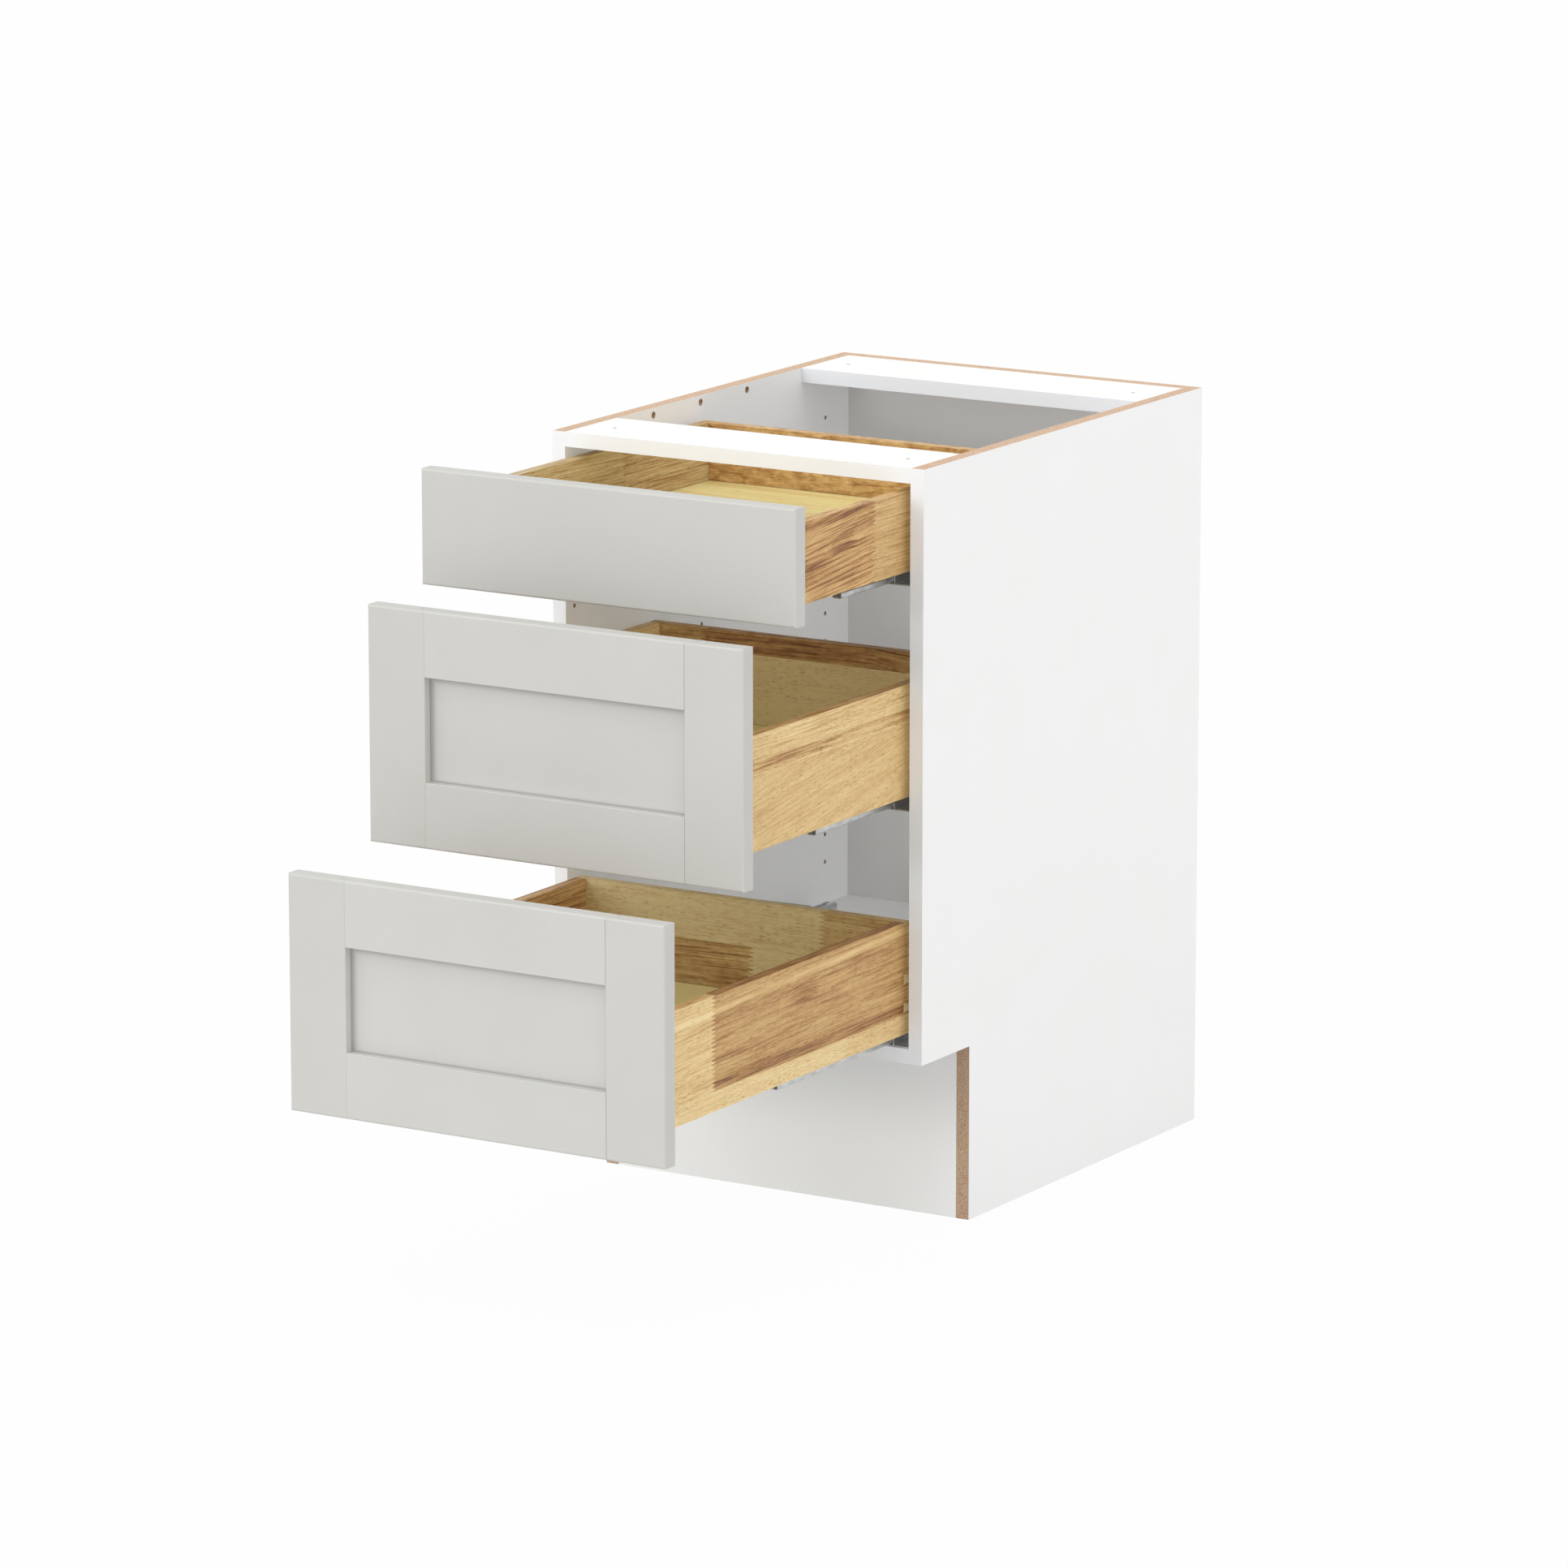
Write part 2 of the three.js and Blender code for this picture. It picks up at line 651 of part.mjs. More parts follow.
// The member that is screwed to the carcass: a tall web and a base that folds up into a rail.
// The web has a screw or an oblong hole at steps of the drilling grid. It slopes down at its
// front end and tapers towards its rear end.
function cabinetMember(side) {
  const half = cabinetSheet / 2;
  const webAt = jointGap + half;
  const innerWall = runnerCentre + railHalf + half;
  const outerWall = runnerCentre - railHalf - half;
  const railTop = railDepth - half;
  const bracket = sheetOutline(points(
    [webAt, runnerWebHeight],
    [webAt, half],
    [innerWall, half],
    [innerWall, railTop],
    [innerWall - railLip, railTop],
  ), cabinetSheet);
  const rail = sheetOutline(points(
    [outerWall, half],
    [outerWall, railTop],
    [outerWall + railLip, railTop],
  ), cabinetSheet);
  const start = carcassFront + runnerSetback;
  const end = start + runnerLength;
  const member = runnerSolid(side, [bracket, rail], start, end);

  const over = 1;
  const webRange = acrossRange(side, webAt - half - over, webAt + half + over);
  const slope = alongX(points(
    [start - over, webFrontHeight],
    [start, webFrontHeight],
    [start + webSlopeLength, runnerWebHeight],
    [start + webSlopeLength, runnerWebHeight + over],
    [start - over, runnerWebHeight + over],
  ), ...webRange);
  const taper = alongX(points(
    [end - webTaperLength, runnerWebHeight],
    [end, webRearHeight],
    [end + over, webRearHeight],
    [end + over, runnerWebHeight + over],
    [end - webTaperLength, runnerWebHeight + over],
  ), ...webRange);
  const gridColumn = (step) => carcassFront + firstScrewColumn + step * columnPitch;
  // the rear screw is in the last column where the tapered web still carries its whole head, and
  // the middle screw and the last slot are counted from it
  const headTop = rearScrewHeight + screwHeadRadius + screwHeadMargin;
  const taperShare = (headTop - webRearHeight) / (runnerWebHeight - webRearHeight);
  const lastPlace = end - webTaperLength * taperShare;
  const rearStep = Math.floor((lastPlace - gridColumn(0)) / columnPitch);
  const middleStep = Math.round(rearStep * middleScrewShare);
  const slots = [3, 5, rearStep - 3].map((step) => alongX(
    slotOutline(gridColumn(step), runnerScrewHeight, webSlotLength, webSlotHeight),
    ...webRange,
  ));
  const screwPlaces = [
    [gridColumn(0), runnerScrewHeight],
    [gridColumn(1), runnerScrewHeight],
    [gridColumn(middleStep), runnerScrewHeight],
    [gridColumn(rearStep), rearScrewHeight],
  ];
  const heads = screwPlaces.map(([y, z]) => bar(
    'x',
    [acrossFrom(side, webAt), y, z],
    screwHeadRadius,
    -side * (half + screwHeadHeight),
  ));
  return join(cut(member, [slope, taper, ...slots]), ...heads);
}

// The member that runs between the other two: a web with a trough in the rail below and a hood
// under the drawer member above.
function slideMember(side, y0) {
  const half = slideSheet / 2;
  const lowerLip = railDepth - cabinetSheet - ballGap;
  const upperLip = drawerMemberBottom + slideSheet + 2 * runningGap;
  const trough = sheetOutline(points(
    [runnerCentre - troughHalf + half, lowerLip],
    [runnerCentre - troughHalf + half, slideBottom + half],
    [runnerCentre + troughHalf - half, slideBottom + half],
    [runnerCentre + troughHalf - half, lowerLip],
  ), slideSheet);
  const hood = sheetOutline(points(
    [runnerCentre - hoodHalf + half, upperLip],
    [runnerCentre - hoodHalf + half, slideTop - half],
    [runnerCentre + hoodHalf - half, slideTop - half],
    [runnerCentre + hoodHalf - half, upperLip],
  ), slideSheet);
  const web = points(
    [runnerCentre - half, slideBottom + half],
    [runnerCentre + half, slideBottom + half],
    [runnerCentre + half, slideTop - half],
    [runnerCentre - half, slideTop - half],
  );
  return runnerSolid(side, [trough, hood, web], y0, y0 + runnerLength - slideShortfall);
}

// Where the clip's catch enters the drawer member, as ranges along Y and Z. room is added on
// every side.
function latchRanges(room) {
  const start = boxInnerFront + latchSetback;
  return [
    [start - room, start + latchLength + room],
    [latchCentre - latchHeight / 2 - room, latchCentre + latchHeight / 2 + room],
  ];
}

// The member that carries the drawer: a hood under the drawer bottom, with a slot for the clip's
// catch and a hook at its rear end that enters the box's back.
function drawerMember(side) {
  const half = slideSheet / 2;
  const wall = drawerMemberWidth / 2 - half;
  const lipEnd = wall - drawerMemberLip;
  const hood = sheetOutline(points(
    [runnerCentre - lipEnd, drawerMemberBottom + half],
    [runnerCentre - wall, drawerMemberBottom + half],
    [runnerCentre - wall, drawerMemberTop - half],
    [runnerCentre + wall, drawerMemberTop - half],
    [runnerCentre + wall, drawerMemberBottom + half],
    [runnerCentre + lipEnd, drawerMemberBottom + half],
  ), slideSheet);
  const rear = boxBackFace + seatGap;
  const tabHalf = hookTabWidth / 2;
  const hookHeight = runnerBaseToBox + hookAboveBoxEdge;
  const tab = points(
    [runnerCentre - tabHalf, drawerMemberTop - slideSheet],
    [runnerCentre + tabHalf, drawerMemberTop - slideSheet],
    [runnerCentre + tabHalf, hookHeight + tabHalf],
    [runnerCentre - tabHalf, hookHeight + tabHalf],
  );
  const pinStart = [acrossFrom(side, runnerCentre), rear + half, hookHeight];
  const member = join(
    runnerSolid(side, [hood], boxInnerFront + seatGap, rear + slideSheet),
    runnerSolid(side, [tab], rear, rear + slideSheet),
    bar('y', pinStart, hookPinRadius, -(half + seatGap + hookPinLength)),
  );
  const wallRange = acrossRange(side, runnerCentre + wall - slideSheet, clipOuter);
  return cut(member, [board(wallRange, ...latchRanges(0))]);
}

// A rectangle in (x, y) with rounded corners, given across by u.
function roundedPlan(side, [u0, u1], [y0, y1], r) {
  const shape = new THREE.Shape();
  shape.absarc(u1 - r, y0 + r, r, -Math.PI / 2, 0, false);
  shape.absarc(u1 - r, y1 - r, r, 0, Math.PI / 2, false);
  shape.absarc(u0 + r, y1 - r, r, Math.PI / 2, Math.PI, false);
  shape.absarc(u0 + r, y0 + r, r, Math.PI, 1.5 * Math.PI, false);
  return shape.getPoints(3).map(({ x, y }) => new THREE.Vector2(acrossFrom(side, x), y));
}

// The clip's lever from the side, in (y, z), with grip ribs across its underside.
function leverOutline(start, end, low, high) {
  const outline = points([end, low + leverRise], [end, high], [start, high]);
  for (let rib = 0; rib < gripRibs; rib += 1) {
    const y = start + rib * gripRibPitch;
    outline.push(...points(
      [y, low],
      [y + gripRibPitch / 2, low],
      [y + gripRibPitch / 2, low + gripRibDepth],
      [y + gripRibPitch, low + gripRibDepth],
    ));
  }
  return outline;
}

// The clip that locks a drawer to its runner: a screwed plate, a body with the catch, and a
// lever that the hand squeezes.
function lockingClip(side) {
  const start = boxInnerFront + seatGap;
  const end = start + clipLength;
  const bodyStart = start + clipBodySetback;
  const bodyLow = clipTop - clipBodyHeight;
  const insidePlate = clipTop - clipPlate / 2;
  const plate = alongZ(
    roundedPlan(side, [clipOuter, clipOuter + clipWidth], [start, end], clipCornerRadius),
    clipTop - clipPlate,
    clipTop,
  );
  const body = alongZ(
    roundedPlan(
      side,
      [clipOuter, clipOuter + clipBodyWidth],
      [bodyStart, end - clipBodyShortfall],
      clipCornerRadius,
    ),
    bodyLow,
    insidePlate,
  );
  const lever = alongX(
    leverOutline(start + seatGap, bodyStart + leverRunOut, bodyLow, insidePlate),
    ...acrossRange(side, clipOuter + leverInset, clipOuter + clipBodyWidth - leverInset),
  );
  const catchRange = acrossRange(side, clipOuter - seatGap - latchReach, clipOuter + leverInset);
  const catchNib = board(catchRange, ...latchRanges(-latchClearance));
  const screwAcross = clipOuter + (clipBodyWidth + clipWidth) / 2;
  const holes = [start + clipScrewInset, end - clipScrewInset].map((y) => bar(
    'z',
    [acrossFrom(side, screwAcross), y, clipTop - clipPlate - 1],
    clipScrewRadius,
    clipPlate + 2,
  ));
  return cut(join(plate, body, lever, catchNib), holes);
}

// ---------------------------------------------------------------- drawers

// One drawer with its runners. open is measured from the carcass's front to the rear face of
// the drawer's front; the middle member of each runner travels half as far.
function makeDrawer({ name, front, boxHeight, runnerBase, open }) {
  const moving = new THREE.Group();
  moving.add(front, makeBox(name, boxHeight, runnerBase + runnerBaseToBox));
  moving.position.y = carcassFront - open;
  const carried = new THREE.Group();
  carried.position.z = runnerBase;
  moving.add(carried);

  const fixed = new THREE.Group();
  fixed.position.z = runnerBase;
  const shutTravel = open - shutGap;
  const slideStart = carcassFront + runnerSetback + slideSetback - shutTravel / 2;

  for (const [word, side] of [['left', -1], ['right', 1]]) {
    carried.add(
      piece(`${name}_runner_drawer_${word}`, drawerMember(side), 'zinc'),
      piece(`${name}_locking_clip_${word}`, lockingClip(side), 'plastic'),
    );
    fixed.add(
      piece(`${name}_runner_cabinet_${word}`, cabinetMember(side), 'zinc'),
      piece(`${name}_runner_slide_${word}`, slideMember(side, slideStart), 'zinc'),
    );
  }

  const group = new THREE.Group();
  group.add(moving, fixed);
  return group;
}

const cabinet = new THREE.Group();
cabinet.add(
  makeCarcass(),
  makeDrawer({
    name: 'top',
    front: makeSlabFront('top', topFrontBase),
    boxHeight: shallowBoxHeight,
    runnerBase: topRunnerBase,
    open: topDrawerOpen,
  }),
  makeDrawer({
    name: 'middle',
    front: makeFramedFront('middle', middleFrontBase),
    boxHeight: deepBoxHeight,
    runnerBase: middleRunnerBase,
    open: middleDrawerOpen,
  }),
  makeDrawer({
    name: 'bottom',
    front: makeFramedFront('bottom', bottomFrontBase),
    boxHeight: deepBoxHeight,
    runnerBase: bottomRunnerBase,
    open: bottomDrawerOpen,
  }),
);

export default cabinet;
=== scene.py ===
# %% [markdown]
# # A base cabinet with three open drawers
#
# The cabinet comes in as a finished model: boards, wooden drawer boxes and steel runners, each at
# its real size. This script gives every piece its finish, adds the small fittings that are too
# fine for the model, and sets up the camera and the light.
#
# Nothing here moves or resizes the model. What is added is placed from the model's own sizes, so
# it fits without any adjusting, and it rides on the part that carries it when a drawer moves.

import math

import bmesh
import bpy
from mathutils import Matrix, Vector


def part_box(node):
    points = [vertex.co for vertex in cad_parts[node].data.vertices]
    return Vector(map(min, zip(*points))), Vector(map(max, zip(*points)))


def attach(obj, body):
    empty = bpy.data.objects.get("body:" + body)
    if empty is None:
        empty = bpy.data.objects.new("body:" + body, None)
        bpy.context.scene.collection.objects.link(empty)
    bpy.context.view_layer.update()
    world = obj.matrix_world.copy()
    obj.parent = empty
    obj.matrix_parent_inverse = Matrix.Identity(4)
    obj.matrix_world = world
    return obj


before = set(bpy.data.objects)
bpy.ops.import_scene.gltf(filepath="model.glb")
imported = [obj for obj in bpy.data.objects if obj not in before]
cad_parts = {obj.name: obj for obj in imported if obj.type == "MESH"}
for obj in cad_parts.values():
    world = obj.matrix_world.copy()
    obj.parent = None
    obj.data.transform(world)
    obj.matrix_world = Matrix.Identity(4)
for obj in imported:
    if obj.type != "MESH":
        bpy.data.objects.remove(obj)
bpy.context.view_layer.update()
scene = bpy.context.scene

MM = 0.001  # the scene is in metres; small sizes are written in millimetres
DRAWERS = ("top", "middle", "bottom")
SIDES = ("left", "right")

# %% [markdown]
# ## The camera
#
# The cabinet was photographed from the front right and a little above, from far away through a
# long lens, so its upright edges stay upright and its depth is only slightly drawn together. A
# camera could be placed by eye, but here its place, its direction and its lens were worked out
# from the corners of the cabinet, whose real sizes are known. The picture is square.

# %% Place the camera
CAMERA_PLACE = (4.5043, -7.8801, 2.3345)
CAMERA_TURN = math.radians(31.406)  # to the left of straight ahead
CAMERA_DIP = math.radians(12.303)  # below the horizon
LENS = 190.48  # mm, on a sensor 36 mm wide
SIGHT = 200  # m, how far the camera sees

camera = bpy.data.objects.new("camera", bpy.data.cameras.new("camera"))
camera.data.lens = LENS
camera.data.clip_end = SIGHT
camera.location = CAMERA_PLACE
camera.rotation_euler = (math.radians(90) - CAMERA_DIP, 0, CAMERA_TURN)
scene.collection.objects.link(camera)
scene.camera = camera
print("the camera stands", round(Vector(CAMERA_PLACE).length, 2), "m from the cabinet")

# %% [markdown]
# ## Building node trees
#
# A finish is a tree of nodes, and most of what it holds is arithmetic on where a point lies:
# inside a board, above a glue line, near a joint. Adding and linking each Math node by hand hides
# that arithmetic. So a small class stands for one output socket, and sums written on it add the
# Math nodes themselves. Every other node comes from one method, which sets the node's own
# settings first, because they can change which sockets it has, and then fills its sockets.

# %% A socket that can be reckoned with
class Wire:
    """One output socket. Arithmetic on it adds Math nodes to its graph."""

    def __init__(self, graph, socket):
        self.graph = graph
        self.socket = socket

    def maths(self, operation, first, second=0.0):
        return self.graph.node("ShaderNodeMath", {"operation": operation}, {0: first, 1: second})

    def __add__(self, other):
        return self.maths("ADD", self, other)

    def __radd__(self, other):
        return self.maths("ADD", other, self)

    def __sub__(self, other):
        return self.maths("SUBTRACT", self, other)

    def __rsub__(self, other):
        return self.maths("SUBTRACT", other, self)

    def __mul__(self, other):
        return self.maths("MULTIPLY", self, other)

    def __rmul__(self, other):
        return self.maths("MULTIPLY", other, self)

    def __truediv__(self, other):
        return self.maths("DIVIDE", self, other)

    def __gt__(self, other):
        return self.maths("GREATER_THAN", self, other)

    def __lt__(self, other):
        return self.maths("LESS_THAN", self, other)

    def __abs__(self):
        return self.maths("ABSOLUTE", self)

    def between(self, low, high):
        """1 between two values and 0 outside them."""
        return (self > low) * (self < high)

    def least(self, other):
        return self.maths("MINIMUM", self, other)

    def fade(self, low, high):
        """Rises smoothly from 0 at low to 1 at high."""
        return self.graph.node(
            "ShaderNodeMapRange",
            {"interpolation_type": "SMOOTHSTEP"},
            {"Value": self, "From Min": low, "From Max": high},
        )

    def zigzag(self, pitch, depth):
        """A row of teeth: it climbs to depth and falls back once in every pitch."""
        return self.maths("PINGPONG", self, pitch / 2) * (2 * depth / pitch)

    def sibling(self, output):
        """Another output of the same node."""
        return Wire(self.graph, self.socket.node.outputs[output])


# %% A graph of nodes
class Graph:
    """A node tree that is being built."""

    def __init__(self, tree):
        self.tree = tree

    def node(self, kind, settings=None, sockets=None, output=0):
        """Adds a node: its settings first, then a value or a link for each socket."""
        made = self.tree.nodes.new(kind)
        for name, value in (settings or {}).items():
            if name == "stops":
                self.lay_stops(made.color_ramp, value)
            elif name == "ramp_interpolation":
                made.color_ramp.interpolation = value
            else:
                setattr(made, name, value)
        for name, value in (sockets or {}).items():
            self.feed(made.inputs[name], value)
        return Wire(self, made.outputs[output]) if made.outputs else made

    def lay_stops(self, ramp, stops):
        """Gives a colour ramp its stops, each a position and a colour."""
        while len(ramp.elements) < len(stops):
            ramp.elements.new(1.0)
        for element, (position, colour) in zip(ramp.elements, stops):
            element.position = position
            element.color = colour

    def feed(self, socket, value):
        if isinstance(value, Wire):
            self.tree.links.new(value.socket, socket)
        else:
            socket.default_value = value

    def mix(self, factor, first, second, blend="MIX"):
        """Mixes two colours."""
        return self.node(
            "ShaderNodeMix",
            {"data_type": "RGBA", "blend_type": blend},
            {0: factor, 6: first, 7: second},
            output=2,
        )

    def point(self, x, y, z):
        return self.node("ShaderNodeCombineXYZ", None, {0: x, 1: y, 2: z})

    def noise(self, where, detail=2.0, roughness=0.5, distortion=0.0):
        return self.node(
            "ShaderNodeTexNoise",
            None,
            {
                "Vector": where,
                "Scale": 1.0,
                "Detail": detail,
                "Roughness": roughness,
                "Distortion": distortion,
            },
        )

    def seen(self):
        """1 for what the camera sees, straight, mirrored in metal or through something clear."""
        camera_ray = self.node("ShaderNodeLightPath", output="Is Camera Ray")
        glossy_ray = camera_ray.sibling("Is Glossy Ray")
        clear_ray = camera_ray.sibling("Is Transmission Ray")
        return 1 - (1 - camera_ray) * (1 - glossy_ray) * (1 - clear_ray)


# %% [markdown]
# ## The light
#
# The cabinet stands in a white studio. Most of the light comes from all around. Three lamps
# shape it: a small low one in front, whose light the open drawer fronts keep off the cabinet's
# front edges; a wide one on the left, which reaches under the drawers to the toe board; and one
# overhead. A large softbox could be an area lamp, but a sun lamp with a wide angle gives the same
# soft shadows and doesn't fall off, so each lamp's strength holds at every drawer.
#
# In the photograph even the inside of the cabinet is pale and neutral, because white walls close
# by throw light into it from every direction. Two fill lamps stand in for them and cast no
# shadow. Light could bounce between the boards many times instead, but each bounce off the wood
# turns the white boards more yellow, so two bounces are the limit.
#
# The strengths add up to about 1 on a surface that sees everything. A colour then renders as it
# is written, and white board stays just under pure white.

# %% Light the studio
SKY = 0.60  # the light from all around
WHITE = (1.0, 1.0, 1.0, 1.0)
BOUNCES = 2
LAMP_DISTANCE = 3  # m, which only matters to the eye: a sun's light doesn't depend on it

LAMPS = {
    # name: (strength, azimuth from straight in front towards the right, height, width in degrees,
    # whether it casts shadows)
    "front_softbox": (0.35, -4, 8, 8, True),
    "left_softbox": (0.68, -45, 20, 50, True),
    "overhead_softbox": (0.86, 0, 80, 60, True),
    "right_fill": (0.71, 80, 20, 30, False),
    "front_fill": (0.15, -5, 12, 30, False),
}


def hang_lamp(name, strength, azimuth, height, width, shadows):
    lamp = bpy.data.lights.new(name, "SUN")
    lamp.energy = strength
    lamp.angle = math.radians(width)
    lamp.use_shadow = shadows
    holder = bpy.data.objects.new(name, lamp)
    turn, lift = math.radians(azimuth), math.radians(height)
    towards = Vector((
        math.sin(turn) * math.cos(lift),
        -math.cos(turn) * math.cos(lift),
        math.sin(lift),
    ))
    holder.rotation_euler = towards.to_track_quat("Z", "Y").to_euler()
    holder.location = towards * LAMP_DISTANCE
    scene.collection.objects.link(holder)


for name, setting in LAMPS.items():
    hang_lamp(name, *setting)
print("lamps:", ", ".join(LAMPS))

# %% Whiten the room
world = bpy.data.worlds.new("studio")
scene.world = world
world.use_nodes = True
world.node_tree.nodes.clear()
room = Graph(world.node_tree)
backdrop = room.node(
    "ShaderNodeBackground",
    None,
    {"Color": WHITE, "Strength": SKY + (1 - SKY) * room.seen()},
)
room.node("ShaderNodeOutputWorld", None, {"Surface": backdrop})
scene.view_settings.view_transform = "Standard"
scene.cycles.diffuse_bounces = BOUNCES
print("the room gives", SKY, "of the light and the camera sees it white")

# %% [markdown]
# ## The floor
#
# In the photograph the floor is as white as the background, and only a faint shadow shows where
# the cabinet stands. A plain white floor would turn grey under the cabinet and would show its
# far edge. So the floor is a matt white surface that catches the shadow, mixed with plain white
# wherever the camera sees it. The mix leaves a little of the shadow, and the light that the floor
# throws back up onto the cabinet isn't changed by it.

# %% Lay the floor
FLOOR_REACH = 40.0  # m from its middle to each edge
FLOOR_DROP = 0.2  # mm, so that the floor and the undersides of the boards aren't in one plane


def lay_floor():
    mesh = bpy.data.meshes.new("floor")
    low = -FLOOR_DROP * MM
    corners = [(-1, -1), (1, -1), (1, 1), (-1, 1)]
    points = [(x * FLOOR_REACH, y * FLOOR_REACH, low) for x, y in corners]
    mesh.from_pydata(points, [], [(0, 1, 2, 3)])
    floor = bpy.data.objects.new("floor", mesh)
    scene.collection.objects.link(floor)
    return floor


floor = lay_floor()
print("the floor reaches", FLOOR_REACH, "m each way")

# %% Paint the floor
FLOOR_WHITE = 0.78
FLOOR_SCUFF = 0.02  # how much darker it is where it is scuffed
FLOOR_BLEACH = 0.965  # how far the camera sees plain white instead of the lit surface


def grey(level):
    return (level, level, level, 1.0)


floor_paint = bpy.data.materials.new("floor_white")
floor_paint.use_nodes = True
floor_paint.node_tree.nodes.clear()
studio = Graph(floor_paint.node_tree)
scuffs = studio.noise(studio.node("ShaderNodeTexCoord", output="Object"), detail=3.0)
lit = studio.node(
    "ShaderNodeBsdfDiffuse",
    None,
    {"Color": studio.mix(scuffs, grey(FLOOR_WHITE - FLOOR_SCUFF), grey(FLOOR_WHITE))},
)
plain = studio.node("ShaderNodeEmission", None, {"Color": WHITE, "Strength": 1.0})
bleached = studio.node(
    "ShaderNodeMixShader", None, {0: FLOOR_BLEACH * studio.seen(), 1: lit, 2: plain}
)
studio.node("ShaderNodeOutputMaterial", None, {"Surface": bleached})
floor.data.materials.append(floor_paint)
print("the camera sees the floor", round(100 * FLOOR_BLEACH, 1), "percent plain white")

# %% [markdown]
# ## What every finish shares
#
# Each finish starts from a Principled shader. Its patterns are worked out from where a point lies
# in the model, in millimetres, rather than from an unwrapped image. That has two advantages: a
# grain or a layer runs right through a board and comes out on its edges as it does in the real
# one, and every size in a pattern can be written as it would be measured on the object.
#
# Colours are written as a picture shows them, from 0 to 255, and turned into the linear values
# that a shader works with.

# %% Colours
def tone(red, green, blue):
    """A colour as read from a picture, in the linear values of a shader."""

    def linear(level):  # by the standard curve of a screen
        share = level / 255
        return share / 12.92 if share <= 0.04045 else ((share + 0.055) / 1.055) ** 2.4

    return (linear(red), linear(green), linear(blue), 1.0)


print("a mid grey of 128 is", round(tone(128, 128, 128)[0], 3), "in a shader")


# %% A finish
class Finish(Graph):
    """A material that is being made. x, y and z are places in the model in millimetres."""

    def __init__(self, name, **constants):
        self.material = bpy.data.materials.new(name)
        self.material.use_nodes = True
        super().__init__(self.material.node_tree)
        self.shader = self.tree.nodes["Principled BSDF"]
        for socket, value in constants.items():
            self.shader.inputs[socket.replace("_", " ")].default_value = value
        place = self.node("ShaderNodeTexCoord", output="Object")
        millimetres = self.node(
            "ShaderNodeVectorMath", {"operation": "SCALE"}, {"Vector": place, "Scale": 1 / MM}
        )
        self.x = self.node("ShaderNodeSeparateXYZ", None, {"Vector": millimetres})
        self.y = self.x.sibling("Y")
        self.z = self.x.sibling("Z")
        self.axes = (self.x, self.y, self.z)

    def grained(self, size, detail=2.0, roughness=0.5):
        """Noise with grains of one size, or of one size along each axis."""
        sizes = size if isinstance(size, tuple) else (size,) * 3
        where = self.point(*(axis / length for axis, length in zip(self.axes, sizes)))
        return self.noise(where, detail, roughness)

    def surface(self, **wires):
        """Links what varies over the surface: Base_Color, Roughness and Normal."""
        for socket, value in wires.items():
            self.feed(self.shader.inputs[socket.replace("_", " ")], value)

    def relief(self, height, depth):
        """A normal for a surface that rises by depth millimetres where height is 1."""
        return self.node(
            "ShaderNodeBump", None, {"Strength": 1.0, "Distance": depth * MM, "Height": height}
        )

    def give(self, *nodes):
        """Puts the finish on pieces of the model."""
        for name in nodes:
            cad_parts[name].material_slots[0].material = self.material


def extent(node):
    """The lowest and highest corner of a piece in millimetres."""
    low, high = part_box(node)
    return low / MM, high / MM


# %% [markdown]
# ## The painted fronts
#
# The drawer fronts are pale warm grey, sprayed and satin. From a distance the colour is almost
# even. Close by, sprayed paint has a fine orange-peel ripple and dries a little glossier in some
# places than in others. The ripple is relief, so it only shows where light glances off it.
#
# A stile's paint would match a rail's exactly if one finish served them all. On a real frame each
# member is its own piece of board, so each gets a slightly different share of the same grey.
#
# A centre panel sits loose in the grooves of its frame. All round it, painted shade makes a soft
# dark line where the frame shades the recess, drawn from the sizes of the frame's opening. Along
# the bottom the painted shade is narrower, as the lower rail shades the panel less.

# %% Paint the fronts
FRONT_GREY = tone(205, 204, 200)
FRONT_GREY_DEEP = tone(199, 198, 193)
RIPPLE = 3.5  # mm from crest to crest
RIPPLE_DEPTH = 0.025  # mm
CLOUD = 90.0  # mm across, a patch that dried more or less glossy
CLOUD_SHARE, RIPPLE_SHARE = 0.8, 0.25  # how far each moves the grey towards the deeper one
SATIN = 0.40  # the least roughness of the paint
SHARE_OF_DEEP = {"drawer_front": 0.50, "front_stile": 0.60, "front_rail": 0.42}
SHARE_OF_PANEL = 0.35  # its share of the deeper grey
RECESS_SHADE_TINT = (0.68, 0.68, 0.67, 1.0)
RECESS_SHADE_REACH = 9.0  # mm, how far the painted shade fades out over the panel
SHADE_NARROWER_BELOW = 2.6  # how many times narrower the painted shade is along the bottom


def sprayed_paint(name, share, opening=None):
    """opening holds the lowest and highest x and z of the hole in the frame round a panel."""
    finish = Finish(name, IOR=1.45)
    clouds = finish.grained(CLOUD, 3.0)
    ripple = finish.grained(RIPPLE)
    deep = share + CLOUD_SHARE * (clouds - 0.5) + RIPPLE_SHARE * (ripple - 0.5)
    colour = finish.mix(deep.fade(0, 1), FRONT_GREY, FRONT_GREY_DEEP)
    if opening:
        left, right, bottom, top = opening
        to_stile = (finish.x - left).least(right - finish.x)
        to_rail = (SHADE_NARROWER_BELOW * (finish.z - bottom)).least(top - finish.z)
        # Painted shade: a soft dark line round the panel, where the frame shades its recess.
        corner = 1 - to_stile.least(to_rail).fade(0, RECESS_SHADE_REACH)
        colour = finish.mix(corner, colour, RECESS_SHADE_TINT, "MULTIPLY")
    finish.surface(
        Base_Color=colour,
        Roughness=SATIN + 0.10 * clouds + 0.06 * ripple,
        Normal=finish.relief(ripple, RIPPLE_DEPTH),
    )
    return finish


